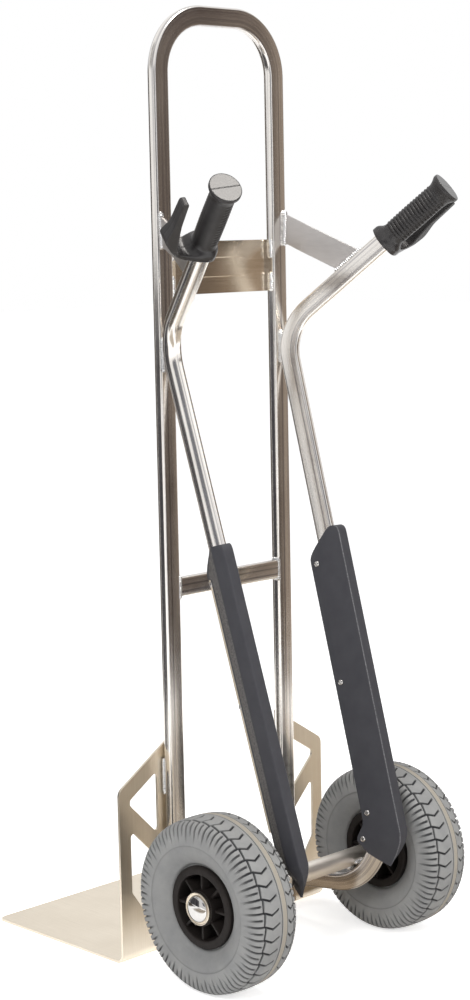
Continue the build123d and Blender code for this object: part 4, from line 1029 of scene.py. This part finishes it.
def card(name, place, aim, size, dark, light, bands, soft=0.12):
    # a studio card that only reflections see, its tone in soft bands, with edges that fade
    material, tree, shader = newMaterial(name)
    spread = noise(tree, coordinates(tree, "UV", (*bands, 1)), 1.0, 2.0)
    tone = ramp(tree, spread, zip(stage["cardLevels"], (dark, light)))
    spot = axes(tree, "UV")
    folds = [maths(tree, "PINGPONG", spot[axis], 0.5) for axis in "XY"]
    fades = [remapped(tree, fold, (0.0, soft), (0.0, 1.0), interpolation_type="SMOOTHSTEP") for fold in folds]
    fill(shader, {"Base Color": (0, 0, 0, 1), "Specular IOR Level": 0.0, "Emission Color": tone,
                  "Emission Strength": 1.0, "Alpha": maths(tree, "MULTIPLY", *fades)})
    made = stageSheet(name, size, material)
    aimed(made, place, aim)
    made.visible_camera = made.visible_diffuse = made.visible_shadow = False
    made.visible_transmission = made.visible_volume_scatter = False


# place, aim, size, dark and light tone, bands, width of the faded edge; a card on the floor is hardly tilted
cards = {
    "rightCard": ((1.25, -1.15, 1.15), (0.1, 0, 1.15), (2.3, 2.9),
                  (0.095, 0.08, 0.07), (0.21, 0.17, 0.145), (9, 0.7)),
    "rightLightCard": ((1.568, -0.804, 1.15), (0.418, 0.346, 1.15), (1.25, 2.9),
                       (0.24, 0.195, 0.16), (0.45, 0.375, 0.31), (5, 0.7)),
    "floorCard": ((0.45, -0.65, 0.003), (0.45, -0.651, 1.0), (1.45, 1.25),
                  (0.42, 0.36, 0.29), (0.82, 0.73, 0.61), (5, 3)),
    "upperRightCard": ((1.146, -1.226, 1.75), (0.146, -0.226, 1.75), (0.5, 0.5),
                       (0.06, 0.046, 0.042), (0.12, 0.095, 0.088), (5, 0.7)),
    "lowRightCard": ((1.066, -1.306, 0.24), (0.066, -0.306, 0.24), (0.36, 0.84),
                     (0.07, 0.056, 0.048), (0.13, 0.105, 0.09), (3, 0.7)),
    "underCard": ((0.13, -0.07, 0.004), (0.13, -0.071, 1.0), (0.34, 0.15),
                  (0.14, 0.105, 0.07), (0.36, 0.28, 0.20), (5, 2)),
    "frontCard": ((0.0, 1.7, 0.72), (0, 0, 0.72), (1.35, 1.9),
                  (0.05, 0.042, 0.036), (0.17, 0.145, 0.12), (7, 0.7)),
    "frontFloorCard": ((-0.65, 0.85, 0.004), (-0.65, 0.849, 1.0), (0.8, 1.1),
                       (0.07, 0.06, 0.05), (0.18, 0.155, 0.13), (5, 3)),
    "sideFloorCard": ((-0.85, -0.5, 0.005), (-0.85, -0.501, 1.0), (0.75, 1.5),
                      (0.38, 0.33, 0.26), (0.78, 0.71, 0.62), (3, 4)),
    "leftCard": ((-1.25, 0.95, 0.42), (-0.13, -0.05, 0.42), (1.95, 1.35),
                 (0.035, 0.035, 0.042), (0.15, 0.145, 0.15), (9, 0.7)),
    "backCard": ((-1.39, -1.22, 1.2), (-0.13, -0.08, 1.0), (1.5, 1.1),
                 (0.11, 0.12, 0.145), (0.30, 0.30, 0.325), (5, 0.7)),
    "capCard": ((-1.6, 1.6, 2.2), (-0.2, -0.15, 0.2), (1.8, 1.3),
                (0.16, 0.15, 0.14), (1.0, 1.0, 1.0), (5, 2)),
    "panelEndCard": ((0.27, -2.2, 1.03), (0.09, -0.01, 1.06), (0.6, 0.34),
                     (0.08, 0.068, 0.06), (0.2, 0.17, 0.15), (3, 1), 0.2),
    "backSoftbox": ((0.35, -2.3, 1.7), (0, 0, 0.9), (0.5, 1.7),
                    (1.4, 1.4, 1.4), (1.6, 1.6, 1.6), (1, 1)),
}
for name, values in cards.items():
    card(name, *values)
print("stage set")
